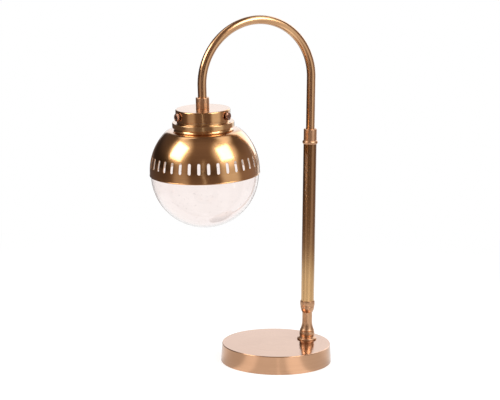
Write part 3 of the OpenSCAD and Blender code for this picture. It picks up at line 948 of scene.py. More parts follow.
@dataclass(frozen=True)
class Turning:
    """A turned shape: where its outline starts, its runs, and the height that it is measured from."""

    start: tuple[float, float]
    runs: tuple[Run, ...]
    level: float = 0.0

    def surface(self, steps: int = 160, closed: bool = True) -> Surface:
        """The outline carried round its axis."""
        return revolve(Outline.traced(self.start, self.runs, closed), steps)


@dataclass
class Base(SubAssembly):
    """The round foot of the lamp and what is inside it."""

    NODES: ClassVar[dict[str, Slot]] = {
        "base_weight": Slot.CAST_IRON,
        "base_cover": Slot.PLATED_STEEL,
        "base_pad": Slot.FELT,
        "cord_bush": Slot.BLACK_RUBBER,
        "terminal_block": Slot.WHITE_PLASTIC,
        "base_shell": Slot.BASE_BRASS,
    }


@dataclass
class RodStack(SubAssembly):
    """The threaded rod that draws the post down on the base."""

    NODES: ClassVar[dict[str, Slot]] = {
        "rod_washer": Slot.PLATED_STEEL,
        "rod_nut": Slot.PLATED_STEEL,
        "tension_rod": Slot.PLATED_STEEL,
    }


@dataclass
class TurnedPost(SubAssembly):
    """The upright: turned foot, baluster and cup, a brushed tube, and a turned ferrule on top."""

    foot: Turning = Turning(
        (5.4, 0.0),
        (
            Run(16.2, 0.0),
            Run(16.2, 1.8, ease=0.3),
            Run(15.6, 2.4, ease=0.3),
            Run(11.5, 4.6, ease=0.3),
            Run(11.5, 5.2, ease=0.1),
            Run(11.8, 5.2, ease=0.1),
            Run(11.8, 14.4, 0.7),
            Run(5.4, 14.4),
            Run(5.4, 0.0),
        ),
        30.6,
    )
    baluster: Turning = Turning(
        (5.4, 0.0),
        (
            Run(11.467, 0.0),
            Run(11.467, 2.6, 0.433),
            Run(11.2, 2.6, ease=0.1),
            Run(8.3, 17.2, -0.732, 0.0),
            Run(8.3, 32.0, ease=0.1),
            Run(5.4, 32.0),
            Run(5.4, 0.0),
        ),
        45.0,
    )
    cup: Turning = Turning(
        (5.4, 0.0),
        (
            Run(8.5, 0.0),
            Run(11.5, 10.0, 0.767),
            Run(11.0, 10.0, ease=0.1),
            Run(11.0, 10.9, ease=0.1),
            Run(11.7, 10.9),
            Run(11.7, 20.2, 0.5),
            Run(10.85, 20.2),
            Run(10.85, 17.2),
            Run(5.4, 17.2),
            Run(5.4, 0.0),
        ),
        77.0,
    )
    tube: Turning = Turning(
        (9.3, 0.0), (Run(10.8, 0.0), Run(10.8, 269.0), Run(9.3, 269.0), Run(9.3, 0.0)), 94.2
    )
    ferrule: Turning = Turning(
        (5.05, -12.0),
        (
            Run(9.25, -12.0),
            Run(9.25, 0.0),
            Run(10.8, 0.0),
            Run(10.8, 6.2, 1.9, 0.15),
            Run(10.8, 24.6, ease=0.3),
            Run(10.2, 25.2, ease=0.3),
            Run(7.2, 25.2),
            Run(7.2, 17.2),
            Run(3.2, 17.2),
            Run(3.2, 7.0),
            Run(5.05, 7.0),
            Run(5.05, -12.0),
        ),
        363.2,
    )

    def build(self) -> None:
        """Turns the five pieces on the post's axis."""
        self.dress()
        for name, turning, slot, node in (
            ("turned_foot", self.foot, Slot.TURNED_BRASS, "foot_collar"),
            ("turned_baluster", self.baluster, Slot.TURNED_BRASS, "baluster"),
            ("turned_cup", self.cup, Slot.TURNED_BRASS, "post_cup"),
            ("brushed_post", self.tube, Slot.POST_BRASS, "post_tube"),
            ("turned_ferrule", self.ferrule, Slot.TURNED_BRASS, "top_ferrule"),
        ):
            place = LAYOUT.at_post(turning.level)
            self.add(name, place.carry(turning.surface()), slot, [node])


@dataclass
class CrookArm(SubAssembly):
    """The bent tube between the ferrule and the head."""

    tube_r: float = 7.15
    wall: float = 1.0
    tail_less: float = 0.02
    edge: float = 0.25
    foot_z: float = 380.4
    steps: int = 96
    bend_rows: int = 220

    def frames(self, along: np.ndarray) -> tuple[np.ndarray, np.ndarray]:
        """Centre line and outward direction of the bend.

        Up to the bend the centre is (post_x, 0, z). In the bend it is the bend's centre plus
        arm_r times (cosine, 0, sine), and after it goes on straight along the last tangent.

        Args:
            along: Length from the foot of the tube.

        Returns:
            Centres and outward unit vectors, one row for each length.
        """
        leg = LAYOUT.bend_z - self.foot_z
        bend = math.radians(LAYOUT.arm_bend) * LAYOUT.arm_r
        turn = np.clip(along - leg, 0.0, bend) / LAYOUT.arm_r
        out = np.stack([np.cos(turn), np.zeros_like(turn), np.sin(turn)], axis=1)
        ahead = np.stack([-np.sin(turn), np.zeros_like(turn), np.cos(turn)], axis=1)
        middle = np.array([LAYOUT.post_x - LAYOUT.arm_r, 0.0, LAYOUT.bend_z])
        spare = np.minimum(along - leg, 0.0) + np.maximum(along - leg - bend, 0.0)
        return middle + LAYOUT.arm_r * out + spare[:, None] * ahead, out

    def surface(self) -> Surface:
        """The tube: out along its outer skin and back along its bore.

        A point is the centre line plus the radius times (cosine times the outward direction plus
        sine times Y). The normal is the same direction, or its opposite in the bore.

        Returns:
            The closed surface.
        """
        leg = LAYOUT.bend_z - self.foot_z
        bend = math.radians(LAYOUT.arm_bend) * LAYOUT.arm_r
        end = leg + bend + LAYOUT.arm_tail + LAYOUT.arm_grip
        middle = leg + np.linspace(0.0, bend - 0.5, self.bend_rows)
        skin = np.concatenate([[0.0, self.edge], middle, [leg + bend, end - self.edge, end]])
        r = np.full(len(skin), self.tube_r)
        r[-3:] -= self.tail_less
        r[[0, -1]] -= self.edge
        bore = skin[::-1]
        along = np.concatenate([skin, bore])
        radius = np.concatenate([r, np.full(len(bore), self.tube_r - self.wall)])
        side = np.concatenate([np.ones(len(skin)), -np.ones(len(bore))])
        centre, out = self.frames(along)
        turn = np.linspace(0.0, 2.0 * math.pi, self.steps, endpoint=False)
        way = (
            np.cos(turn)[None, :, None] * out[:, None, :]
            + np.sin(turn)[None, :, None] * np.array([0.0, 1.0, 0.0])
        )
        points = centre[:, None, :] + radius[:, None, None] * way
        normals = side[:, None, None] * way
        ids = np.arange(points.shape[0] * points.shape[1]).reshape(points.shape[:2])
        quads, triangles = grid_faces(ids, True, True)
        return Surface(points.reshape(-1, 3), normals.reshape(-1, 3), quads, triangles)

    def build(self) -> None:
        """Bends the tube."""
        self.add("crook_tube", self.surface(), Slot.TUBE_BRASS, ["gooseneck_arm"])


@dataclass
class Fitter(SubAssembly):
    """The head's collar and cap, and the thumb screws that hold the globe."""

    NODES: ClassVar[dict[str, Slot]] = {
        "head_nipple": Slot.PLATED_STEEL,
        "cap_locknut": Slot.PLATED_STEEL,
        "fitter_cap": Slot.SPUN_BRASS,
    }
    collar: Turning = Turning(
        (5.05, -18.0),
        (
            Run(10.8, -18.0),
            Run(10.8, -0.6, ease=0.3),
            Run(10.2, 0.0, ease=0.3),
            Run(7.2, 0.0),
            Run(7.2, -8.0),
            Run(5.05, -8.0),
            Run(5.05, -18.0),
        ),
    )
    head_from: float = 45.0
    head: Turning = Turning(
        (0.0, 0.0),
        (
            Run(5.6, 0.0, ease=0.15),
            Run(6.2, 0.6, ease=0.15),
            Run(6.2, 3.9, ease=0.15),
            Run(5.6, 4.5, ease=0.15),
            Run(4.7, 4.5, ease=0.15),
            Run(4.3, 4.15, ease=0.2),
            Run(0.0, 4.15),
        ),
    )
    teeth: int = 24
    valley: float = 5.8
    tooth: float = 0.6
    shank_r: float = 2.0
    shank_from: float = 38.9
    shank_to: float = 47.0
    thread_pitch: float = 0.7
    thread_depth: float = 0.18

    def knurl(self, radius: np.ndarray, height: np.ndarray, angle: np.ndarray) -> np.ndarray:
        """Holds the radius under a triangle wave round the head: valley plus tooth times the wave."""
        phase = (angle * self.teeth / (2.0 * math.pi)) % 1.0
        return np.minimum(radius, self.valley + self.tooth * np.abs(1.0 - 2.0 * phase))

    def thread(self, radius: np.ndarray, height: np.ndarray, angle: np.ndarray) -> np.ndarray:
        """Cuts a helix: the depth follows a cosine of height over pitch less angle over a turn."""
        phase = 2.0 * math.pi * height / self.thread_pitch - angle
        cut = self.thread_depth * (0.5 - 0.5 * np.cos(phase))
        return np.where(radius > self.shank_r - 0.01, radius - cut, radius)

    def screw(self) -> Surface:
        """One thumb screw in its own frame: knurled head and threaded shank."""
        head = revolve(Outline.traced(self.head.start, self.head.runs, False), 192, self.knurl)
        head.points[:, 2] += self.head_from
        low, high = self.shank_from, self.shank_to
        rows = np.linspace(low + 0.3, high, int((high - low) / self.thread_pitch * 8))
        line = np.concatenate([[[0.0, low], [self.shank_r - 0.3, low]], [[self.shank_r, z] for z in rows], [[0.0, high]]])
        way = np.gradient(line, axis=0)
        way = way / np.linalg.norm(way, axis=1, keepdims=True)
        normals = np.stack([way[:, 1], -way[:, 0]], axis=1)
        shank = revolve(Outline(line, normals, False), 48, self.thread)
        return Surface.joined([head, shank])

    def build(self) -> None:
        """Turns the collar, dresses the cap and sets a screw on each screw body."""
        self.dress()
        self.add(
            "turned_collar",
            LAYOUT.at_head().carry(self.collar.surface()),
            Slot.TURNED_BRASS,
            ["head_collar"],
        )
        for index, body in enumerate((Body.SCREW_1, Body.SCREW_2, Body.SCREW_3)):
            self.add(
                f"knurled_screw_{index + 1}",
                LAYOUT.at_screw(index).carry(self.screw()),
                Slot.SCREW_BRASS,
                [f"thumb_screw_{index + 1}"],
                body,
            )


@dataclass
class Shade(SubAssembly):
    """The spun neck ring and the half dome with its row of slots."""

    ring: Turning = Turning(
        (41.4, -52.1),
        (
            Run(48.3, -52.1, ease=0.3),
            Run(46.0, -47.7, -0.4, 0.3),
            Run(50.0, -47.7, ease=1.2),
            Run(50.0, -39.1, ease=1.2),
            Run(42.5, -39.1, ease=0.6),
            Run(42.5, -35.3, ease=0.4),
            Run(41.4, -35.3),
            Run(41.4, -52.1),
        ),
    )
    wall: float = 1.2
    crown: float = 67.16
    crown_edge_r: float = 15.0
    hole_r: float = 43.3
    skirt: float = 5.0
    rim_r: float = 0.9
    band_low: float = 5.0
    band_high: float = 32.0
    slot_count: int = 35
    slot_start: float = 2.3
    slot_middle: float = 18.6
    slot_r: float = 2.4
    slot_run: float = 6.4
    slot_edge: float = 0.25
    columns: int = 8

    def strips(self) -> list[Surface]:
        """The dome above and below the band of slots, turned in the dome's own frame.

        The skin is a circle of radius dome_r, turned over into a flat top by a smaller circle that
        touches both; the inner skin is the same a wall further in. A bead closes the rim.

        Returns:
            The two surfaces.
        """
        r = LAYOUT.dome_r
        low, high = self.band_low, self.band_high
        inner = r - self.wall
        edge_z = self.crown - self.crown_edge_r
        edge_x = math.sqrt((r - self.crown_edge_r) ** 2 - edge_z**2)
        share = np.array([edge_x, edge_z]) / (r - self.crown_edge_r)

        def on(radius: float, z: float) -> tuple[float, float]:
            return (math.sqrt(radius * radius - z * z), z)

        def arc(p: Sequence[float], q: Sequence[float], radius: float, side: float, ease: float) -> Run:
            return Run(q[0], q[1], side * bow_of(p, q, radius), ease)

        turn_out, turn_in = tuple(share * r), tuple(share * inner)
        top, under = (edge_x, self.crown), (edge_x, self.crown - self.wall)
        small = self.crown_edge_r
        upper = Outline.traced(
            on(r, high),
            (
                arc(on(r, high), turn_out, r, 1.0, 0.0),
                arc(turn_out, top, small, 1.0, 0.0),
                Run(self.hole_r, self.crown),
                Run(self.hole_r, self.crown - self.wall),
                Run(*under, ease=0.0),
                arc(under, turn_in, small - self.wall, -1.0, 0.0),
                arc(turn_in, on(inner, high), inner, -1.0, 0.0),
            ),
            False,
        )
        bead = (r - self.rim_r / 2.0, -self.skirt)
        bead_in = math.sqrt(self.rim_r**2 - (bead[0] - inner) ** 2)
        bead_out = math.sqrt(self.rim_r**2 - (r - bead[0]) ** 2)
        half = math.hypot(self.wall, bead_out - bead_in) / 2.0
        swell = self.rim_r + math.sqrt(self.rim_r**2 - half * half)
        lower = Outline.traced(
            on(inner, low),
            (
                arc(on(inner, low), (inner, 0.0), inner, -1.0, 0.0),
                Run(inner, -self.skirt + bead_in, ease=0.15),
                Run(r, -self.skirt + bead_out, swell, 0.15),
                Run(r, 0.0, ease=0.0),
                arc((r, 0.0), on(r, low), r, 1.0, 0.0),
            ),
            False,
        )
        begin = math.radians(self.slot_start) - math.pi / self.slot_count
        steps = self.columns * self.slot_count
        return [revolve(outline, steps, begin=begin) for outline in (upper, lower)]

    def border(self, radius: float) -> np.ndarray:
        """Edge of one slot's share of the band, anticlockwise as seen from outside.

        Up and down the sides the distance across is the radius at that height times the sine of
        half a share; along the top and bottom the points stand at equal angles.

        Args:
            radius: Radius of the skin.

        Returns:
            Rows of (across, up), measured from the middle of the slot.
        """
        half = math.pi / self.slot_count
        low, high = self.band_low - self.slot_middle, self.band_high - self.slot_middle
        run = self.slot_run
        up = np.concatenate(
            [
                np.linspace(low, -run, 4, endpoint=False),
                np.linspace(-run, run, 4, endpoint=False),
                np.linspace(run, high, 4, endpoint=False),
            ]
        )
        wide = np.sqrt(radius**2 - (up + self.slot_middle) ** 2) * math.sin(half)
        turn = np.linspace(half, -half, self.columns, endpoint=False)
        top = math.sqrt(radius**2 - self.band_high**2) * np.sin(turn)
        bottom = math.sqrt(radius**2 - self.band_low**2) * np.sin(turn)
        down = np.concatenate([[high], up[:0:-1]])
        narrow = np.sqrt(radius**2 - (down + self.slot_middle) ** 2) * math.sin(half)
        return np.concatenate(
            [
                np.stack([wide, up], axis=1),
                np.stack([top, np.full(self.columns, high)], axis=1),
                np.stack([-narrow, down], axis=1),
                np.stack([-bottom, np.full(self.columns, low)], axis=1),
            ]
        )

    def slotted_band(self) -> Surface:
        """The band with its slots, in the dome's own frame.

        Round each slot the rings run from the edge of its share to the slot's rim, through its
        wall, and out again on the inner skin. A ring's point is the nearest point of the slot's
        middle line plus a distance along the direction to the border; its depth is the square root
        of the radius squared less both distances squared.

        Returns:
            All slots' rings, turned to their places.
        """
        outer, inner = LAYOUT.dome_r, LAYOUT.dome_r - self.wall
        e = self.slot_edge
        rings: list[tuple[float, float, float, float]] = []
        for t in (1.0, 0.75, 0.5, 0.25, 0.0):
            rings.append((outer, t, e, 1.0))
        rings.append((outer - 0.3 * e, 0.0, 0.3 * e, 0.6))
        rings.append((outer - e, 0.0, 0.0, 0.0))
        rings.append((inner + e, 0.0, 0.0, 0.0))
        rings.append((inner + 0.3 * e, 0.0, 0.3 * e, -0.6))
        for t in (0.0, 0.33, 0.66, 1.0):
            rings.append((inner, t, e, -1.0))
        rows, ways, marks = [], [], []
        for radius, share, gap, face in rings:
            border = self.border(outer if face >= 0.0 and radius > inner + 0.6 * self.wall else inner)
            core = np.stack(
                [np.zeros(len(border)), np.clip(border[:, 1], -self.slot_run, self.slot_run)], axis=1
            )
            reach = border - core
            length = np.linalg.norm(reach, axis=1, keepdims=True)
            near = self.slot_r + gap
            flat = core + reach / length * (near + share * (length - near))
            up = flat[:, 1] + self.slot_middle
            deep = np.sqrt(radius**2 - flat[:, 0] ** 2 - up**2)
            point = np.stack([deep, flat[:, 0], up], axis=1)
            wall = np.concatenate([np.zeros((len(border), 1)), -reach / length], axis=1)
            normal = face * point / radius + math.sqrt(1.0 - face * face) * wall
            rows.append(point)
            ways.append(normal)
            marks.append(np.full(len(border), 1.0 if face < 0.0 else 0.0))
        points, normals = np.stack(rows), np.stack(ways)
        ids = np.arange(points.shape[0] * points.shape[1]).reshape(points.shape[:2])
        quads, _ = grid_faces(ids, False, True)
        turn = math.radians(self.slot_start) + np.arange(self.slot_count) * 2.0 * math.pi / self.slot_count
        c, s, o, i = np.cos(turn), np.sin(turn), np.zeros_like(turn), np.ones_like(turn)
        spin = np.stack(
            [np.stack([c, -s, o], 1), np.stack([s, c, o], 1), np.stack([o, o, i], 1)], axis=1
        )
        count = ids.size
        return Surface(
            np.einsum("kab,nb->kna", spin, points.reshape(-1, 3)).reshape(-1, 3),
            np.einsum("kab,nb->kna", spin, normals.reshape(-1, 3)).reshape(-1, 3),
            (quads[None] + count * np.arange(self.slot_count)[:, None, None]).reshape(-1, 4),
            np.zeros((0, 3), int),
            np.tile(np.concatenate(marks), self.slot_count),
        )

    def dome(self) -> Surface:
        """Strips and band in one closed skin, with the inner faces marked."""
        parts = self.strips()
        for part in parts:
            size = np.linalg.norm(part.points, axis=1)
            inwards = np.sum(part.points * part.normals, axis=1) < -0.3 * size
            part.inside = (inwards & (part.points[:, 2] > -4.6)).astype(float)
        whole = Surface.joined(parts + [self.slotted_band()]).welded()
        whole.points[:, 2] -= LAYOUT.dome_depth
        return whole

    def build(self) -> None:
        """Spins the ring and the dome."""
        head = LAYOUT.at_head()
        self.add(
            "spun_ring",
            head.carry(self.ring.surface(192)),
            Slot.SPUN_BRASS,
            ["neck_ring"],
            material=self.book.ring,
        )
        self.add(
            "spun_dome",
            head.carry(self.dome()),
            Slot.SPUN_BRASS,
            ["dome_shade"],
            material=self.book.lined,
        )


@dataclass
class Globe(SubAssembly):
    """The clear glass globe, and the seeds in its wall."""

    wall: float = 2.5
    shoulder_edge_r: float = 6.0
    neck_r: float = 38.6
    lip_w: float = 2.0
    shoulder_z: float = -53.35
    lip_low: float = -25.5
    lip_high: float = -21.5
    seeds: int = 220

    def glass(self) -> Surface:
        """The blown wall in the head's frame.

        The outer skin is a circle of radius globe_r, turned over by a smaller circle into a flat
        shoulder, then straight up the neck to a lip. The inner skin is a wall further in.

        Returns:
            The closed surface.
        """
        r, edge, middle = LAYOUT.globe_r, self.shoulder_edge_r, -LAYOUT.globe_depth
        crown = self.shoulder_z - middle
        edge_x = math.sqrt((r - edge) ** 2 - (crown - edge) ** 2)
        share = np.array([edge_x, crown - edge]) / (r - edge)

        def at(radius: float) -> tuple[float, float]:
            return (float(share[0] * radius), middle + float(share[1] * radius))

        def arc(p: Sequence[float], q: Sequence[float], radius: float, side: float) -> Run:
            return Run(q[0], q[1], side * bow_of(p, q, radius), 0.0)

        inner = r - self.wall
        shoulder = (edge_x, self.shoulder_z)
        under = (edge_x, self.shoulder_z - self.wall)
        bore = self.neck_r - self.wall
        base, floor = (0.0, middle - r), (0.0, middle - inner)
        turned = math.atan2(share[1], share[0]) + math.pi / 2.0
        sweep = Run(*at(r), bow=r * (1.0 - math.cos(turned / 2.0)), ease=0.0)
        back = Run(*floor, bow=-inner * (1.0 - math.cos(turned / 2.0)), ease=0.0)
        outline = Outline.traced(
            base,
            (
                sweep,
                arc(at(r), shoulder, edge, 1.0),
                Run(self.neck_r, self.shoulder_z, ease=1.0),
                Run(self.neck_r, self.lip_low, ease=0.6),
                Run(self.neck_r + self.lip_w, self.lip_low, ease=0.8),
                Run(self.neck_r + self.lip_w, self.lip_high, ease=1.2),
                Run(bore, self.lip_high, ease=0.8),
                Run(bore, under[1], ease=1.0),
                Run(*under, ease=0.0),
                arc(under, at(inner), edge - self.wall, -1.0),
                back,
            ),
            False,
        )
        return revolve(outline, 192)

    def seed_cloud(self) -> Surface:
        """Small bubbles in the middle of the wall.

        Each is a ball stretched along the meridian and flattened through the wall: its centre plus
        the ball's point times its three half-axes.

        Returns:
            All bubbles as one surface.
        """
        rng = np.random.default_rng(41)
        tilt = np.linspace(-0.5, 0.5, 6) * math.pi
        line = np.stack([np.cos(tilt), np.sin(tilt)], axis=1)
        line[[0, -1], 0] = 0.0
        ball = revolve(Outline(line, line, False), 8)
        lift = rng.uniform(-0.97, 0.78, self.seeds)
        turn = rng.uniform(0.0, 2.0 * math.pi, self.seeds)
        wide = rng.uniform(0.28, 0.62, self.seeds)
        long = wide * rng.uniform(1.0, 1.7, self.seeds)
        deep = wide * rng.uniform(0.55, 0.8, self.seeds)
        level = np.sqrt(1.0 - lift * lift)
        out = np.stack([level * np.cos(turn), level * np.sin(turn), lift], axis=1)
        across = np.stack([-np.sin(turn), np.cos(turn), np.zeros_like(turn)], axis=1)
        up = np.cross(out, across)
        axes = np.stack([out * deep[:, None], across * wide[:, None], up * long[:, None]], axis=2)
        tips = np.stack([out / deep[:, None], across / wide[:, None], up / long[:, None]], axis=2)
        middle = np.array([0.0, 0.0, -LAYOUT.globe_depth])
        centres = middle + out * (LAYOUT.globe_r - self.wall / 2.0)
        points = centres[:, None, :] + np.einsum("kab,nb->kna", axes, ball.points)
        normals = np.einsum("kab,nb->kna", tips, ball.points)
        shift = (len(ball.points) * np.arange(self.seeds))[:, None, None]
        return Surface(
            points.reshape(-1, 3),
            normals.reshape(-1, 3),
            (ball.quads[None] + shift).reshape(-1, 4),
            (ball.triangles[None] + shift).reshape(-1, 3),
        )

    def build(self) -> None:
        """Blows the globe and scatters the seeds."""
        head = LAYOUT.at_head()
        glass = Slot.SEEDED_GLASS
        self.add("blown_globe", head.carry(self.glass()), glass, ["glass_globe"])
        self.add("globe_seeds", head.carry(self.seed_cloud()), glass, material=self.book.seeds)


@dataclass
class Lampholder(SubAssembly):
    """The ribbed lampholder, the bulb, and the flex inside the lamp."""

    NODES: ClassVar[dict[str, Slot]] = {
        "holder_core": Slot.WHITE_CERAMIC,
        "bulb_cap": Slot.CAP_BRASS,
        "inner_lead": Slot.FLEX,
    }
    holder_r: float = 13.5
    ribs: int = 36
    rib_depth: float = 0.35
    bulb_r: float = 22.5
    bulb_top: float = -59.7
    bulb_bottom: float = -111.7
    bulb_neck_r: float = 8.0
    cap: Turning = Turning(
        (5.05, -23.7),
        (
            Run(12.0, -23.7, ease=0.5),
            Run(12.0, -33.2),
            Run(13.5, -33.2),
            Run(13.5, -22.2, ease=0.8),
            Run(5.05, -22.2),
            Run(5.05, -23.7),
        ),
    )
    body: Turning = Turning(
        (12.0, -56.7),
        (
            Run(8.0, -56.7),
            Run(8.0, -58.2, ease=0.3),
            Run(13.5, -58.2, ease=1.2),
            Run(13.5, -33.2),
            Run(12.0, -33.2),
            Run(12.0, -56.7),
        ),
    )

    def fluted(self, radius: np.ndarray, height: np.ndarray, angle: np.ndarray) -> np.ndarray:
        """Presses grooves into the body: a cosine round it, faded out towards both ends."""
        fade = np.clip((height + 56.0) / 1.5, 0.0, 1.0) * np.clip((-35.5 - height) / 1.5, 0.0, 1.0)
        wave = 0.5 - 0.5 * np.cos(self.ribs * angle)
        outer = radius > self.holder_r - 0.01
        return np.where(outer, radius - self.rib_depth * wave * fade, radius)

    def ribbed_body(self) -> Surface:
        """The lampholder's body with its outer wall cut into enough rows for the grooves."""
        line = Outline.traced(self.body.start, self.body.runs)
        heights = np.linspace(-56.6, -34.0, 40)
        extra = np.stack([np.full(40, self.holder_r), heights], axis=1)
        outer = np.flatnonzero(np.isclose(line.points[:, 0], self.holder_r))
        split = int(outer[0]) + 1
        points = np.insert(line.points, split, extra, axis=0)
        normals = np.insert(line.normals, split, np.array([[1.0, 0.0]] * 40), axis=0)
        return revolve(Outline(points, normals, True), 288, self.fluted)

    def bulb(self) -> Surface:
        """The opal bulb: a ball that runs into a waisted neck."""
        middle = self.bulb_bottom + self.bulb_r
        lift = math.radians(40.5)
        waist = (self.bulb_r * math.cos(lift), middle + self.bulb_r * math.sin(lift))
        swell = self.bulb_r * (1.0 - math.cos((lift + math.pi / 2.0) / 2.0))
        outline = Outline.traced(
            (0.0, self.bulb_bottom),
            (
                Run(*waist, bow=swell, ease=0.0),
                Run(self.bulb_neck_r, self.bulb_top - 2.5, -0.32, 1.6),
                Run(self.bulb_neck_r, self.bulb_top, ease=0.5),
                Run(0.0, self.bulb_top),
            ),
            False,
        )
        return revolve(outline, 128)

    def build(self) -> None:
        """Dresses the core, cap and flex, and makes the holder and the bulb."""
        self.dress()
        head = LAYOUT.at_head()
        plastic = Slot.WHITE_PLASTIC
        self.add("moulded_holder_cap", head.carry(self.cap.surface()), plastic, ["holder_cap"])
        self.add("ribbed_holder", head.carry(self.ribbed_body()), plastic, ["holder_body"])
        self.add("opal_bulb", head.carry(self.bulb()), Slot.OPAL_GLASS, ["bulb_globe"])


# The studio


@dataclass(frozen=True)
class Glow:
    """A soft round light patch of the surroundings: side and height angles as seen by the camera."""

    side: float
    height: float
    inner: float
    outer: float
    strength: float


@dataclass(frozen=True)
class Column:
    """A soft upright patch of the surroundings, faded out between two heights."""

    side: float
    half: float
    soft: float
    strength: float
    low: float
    high: float


@dataclass
class Studio:
    """Camera, lamps, surroundings and floor."""

    focal_px: float = 2116.31
    pitch: float = 11.47
    roll: float = 0.63
    distance: float = 3.48135
    aim_px: tuple[float, float] = (277.8, 183.5)
    centre_px: tuple[float, float] = (249.5, 199.5)
    aim_height: float = 0.3
    swing: float = 26.61
    image_width: float = 500.0
    floor_reach: float = 30.0
    lamp_size: float = 0.74
    lamp_distance: float = 1.5
    lamp_radiance: float = 5.4
    fill: float = 0.31
    dark: float = 0.1
    floor_fill: float = 0.5
    glows: tuple[Glow, ...] = (
        Glow(-109.0, 40.0, 10.0, 29.0, 1.05),
        Glow(121.0, 40.0, 9.0, 32.0, 1.2),
        Glow(75.0, 62.0, 6.0, 18.0, 1.2),
        Glow(-66.0, 62.0, 5.0, 16.0, 1.5),
        Glow(180.0, 84.0, 8.0, 44.0, 0.04),
        Glow(180.0, 42.0, 12.0, 42.0, 0.1),
    )
    columns: tuple[Column, ...] = (
        Column(-130.0, 14.0, 14.0, 0.4, 14.0, 36.0),
        Column(124.5, 19.5, 15.0, 0.7, 14.0, 36.0),
        Column(-62.0, 36.0, 24.0, -0.07, 8.0, 26.0),
        Column(75.0, 28.0, 14.0, 0.16, 10.0, 50.0),
        Column(-177.5, 1.2, 0.8, 0.9, 24.0, 34.0),
        Column(31.0, 13.0, 4.0, 0.8, 36.0, 50.0),
    )
    near_columns: tuple[Column, ...] = (
        Column(-136.0, 5.0, 20.0, 0.34, 0.0, 10.0),
        Column(151.0, 6.0, 22.0, 0.44, 0.0, 10.0),
        Column(-106.0, 14.0, 28.0, -0.2, 0.0, 10.0),
        Column(112.0, 16.0, 26.0, -0.16, 0.0, 10.0),
        Column(177.0, 1.5, 3.0, 0.15, 0.0, 10.0),
    )
    far_floor: tuple[float, float] = (0.62, 1.1)
    backdrop: Column = Column(14.0, 30.0, 4.0, 1.12, 36.0, 50.0)
    backdrop_tint: tuple[float, float, float] = (0.94, 1.0, 1.07)
    dusk_range: tuple[float, float] = (0.2, 0.8)
    dusk_tint: tuple[float, float, float] = (1.0, 0.76, 0.68)
    floor_glow: tuple[tuple[float, float], ...] = (
        (0.0, 0.92),
        (0.57, 1.0),
        (0.67, 0.78),
        (0.74, 0.52),
        (0.885, 0.34),
        (1.13, 0.26),
        (1.41, 0.2),
        (1.6, 0.18),
    )

    def axes(self) -> np.ndarray:
        """Rows: the camera's right, up and forward directions in the lamp's frame."""
        tip, roll, swing = (math.radians(a) for a in (self.pitch, self.roll, self.swing))
        forward = np.array([0.0, math.cos(tip), -math.sin(tip)])
        up = np.array([0.0, math.sin(tip), math.cos(tip)])
        right = np.array([1.0, 0.0, 0.0])
        rows = np.stack(
            [
                right * math.cos(roll) + up * math.sin(roll),
                up * math.cos(roll) - right * math.sin(roll),
                forward,
            ]
        )
        turn = np.array(
            [
                [math.cos(swing), math.sin(swing), 0.0],
                [-math.sin(swing), math.cos(swing), 0.0],
                [0.0, 0.0, 1.0],
            ]
        )
        return rows @ turn.T

    def add_camera(self) -> None:
        """Sets the camera where the photograph's view is."""
        rows = self.axes()
        offset = np.array(
            [
                (self.aim_px[0] - self.centre_px[0]) / self.focal_px * self.distance,
                -(self.aim_px[1] - self.centre_px[1]) / self.focal_px * self.distance,
                self.distance,
            ]
        )
        place = np.array([0.0, 0.0, self.aim_height]) - rows.T @ offset
        data = bpy.data.cameras.new("camera")
        data.sensor_width = 36.0
        data.lens = self.focal_px / self.image_width * 36.0
        data.clip_end = 200.0
        camera = bpy.data.objects.new("camera", data)
        basis = np.stack([rows[0], rows[1], -rows[2]], axis=1)
        matrix = np.eye(4)
        matrix[:3, :3] = basis
        matrix[:3, 3] = place
        camera.matrix_world = Matrix(matrix.tolist())
        bpy.context.scene.collection.objects.link(camera)
        bpy.context.scene.camera = camera

    def direction(self, side: float, height: float) -> np.ndarray:
        """Unit vector at a side angle from straight away from the camera, and a height angle.

        Args:
            side: Degrees to the right; 180 points at the camera.
            height: Degrees above level.

        Returns:
            The direction in the lamp's frame.
        """
        swing, turn, lift = (math.radians(a) for a in (self.swing, side, height))
        right = np.array([math.cos(swing), -math.sin(swing), 0.0])
        back = np.array([math.sin(swing), math.cos(swing), 0.0])
        level = math.sin(turn) * right + math.cos(turn) * back
        return math.cos(lift) * level + math.sin(lift) * np.array([0.0, 0.0, 1.0])

    def add_softbox(self, name: str, side: float, height: float) -> None:
        """Adds a square lamp that faces the head.

        Args:
            name: Name of the lamp.
            side: Its side angle.
            height: Its height angle.
        """
        aim = np.array([-0.06, 0.0, 0.33])
        direction = self.direction(side, height)
        data = bpy.data.lights.new(name, "AREA")
        data.shape = "SQUARE"
        data.size = self.lamp_size
        data.energy = self.lamp_radiance * math.pi * self.lamp_size**2
        lamp = bpy.data.objects.new(name, data)
        lamp.location = Vector((aim + direction * self.lamp_distance).tolist())
        lamp.rotation_mode = "QUATERNION"
        lamp.rotation_quaternion = Vector((-direction).tolist()).to_track_quat("-Z", "Y")
        bpy.context.scene.collection.objects.link(lamp)

    def glow(self, desk: NodeDesk, way: bpy.types.NodeSocket, patch: Glow) -> bpy.types.NodeSocket:
        """Brightness of a round patch: a smooth step of the cosine to its middle."""
        node = desk.vector("DOT_PRODUCT", way, self.direction(patch.side, patch.height).tolist())
        low, high = (math.cos(math.radians(a)) for a in (patch.outer, patch.inner))
        return desk.fit(node.outputs["Value"], low, high, 0.0, patch.strength, True)

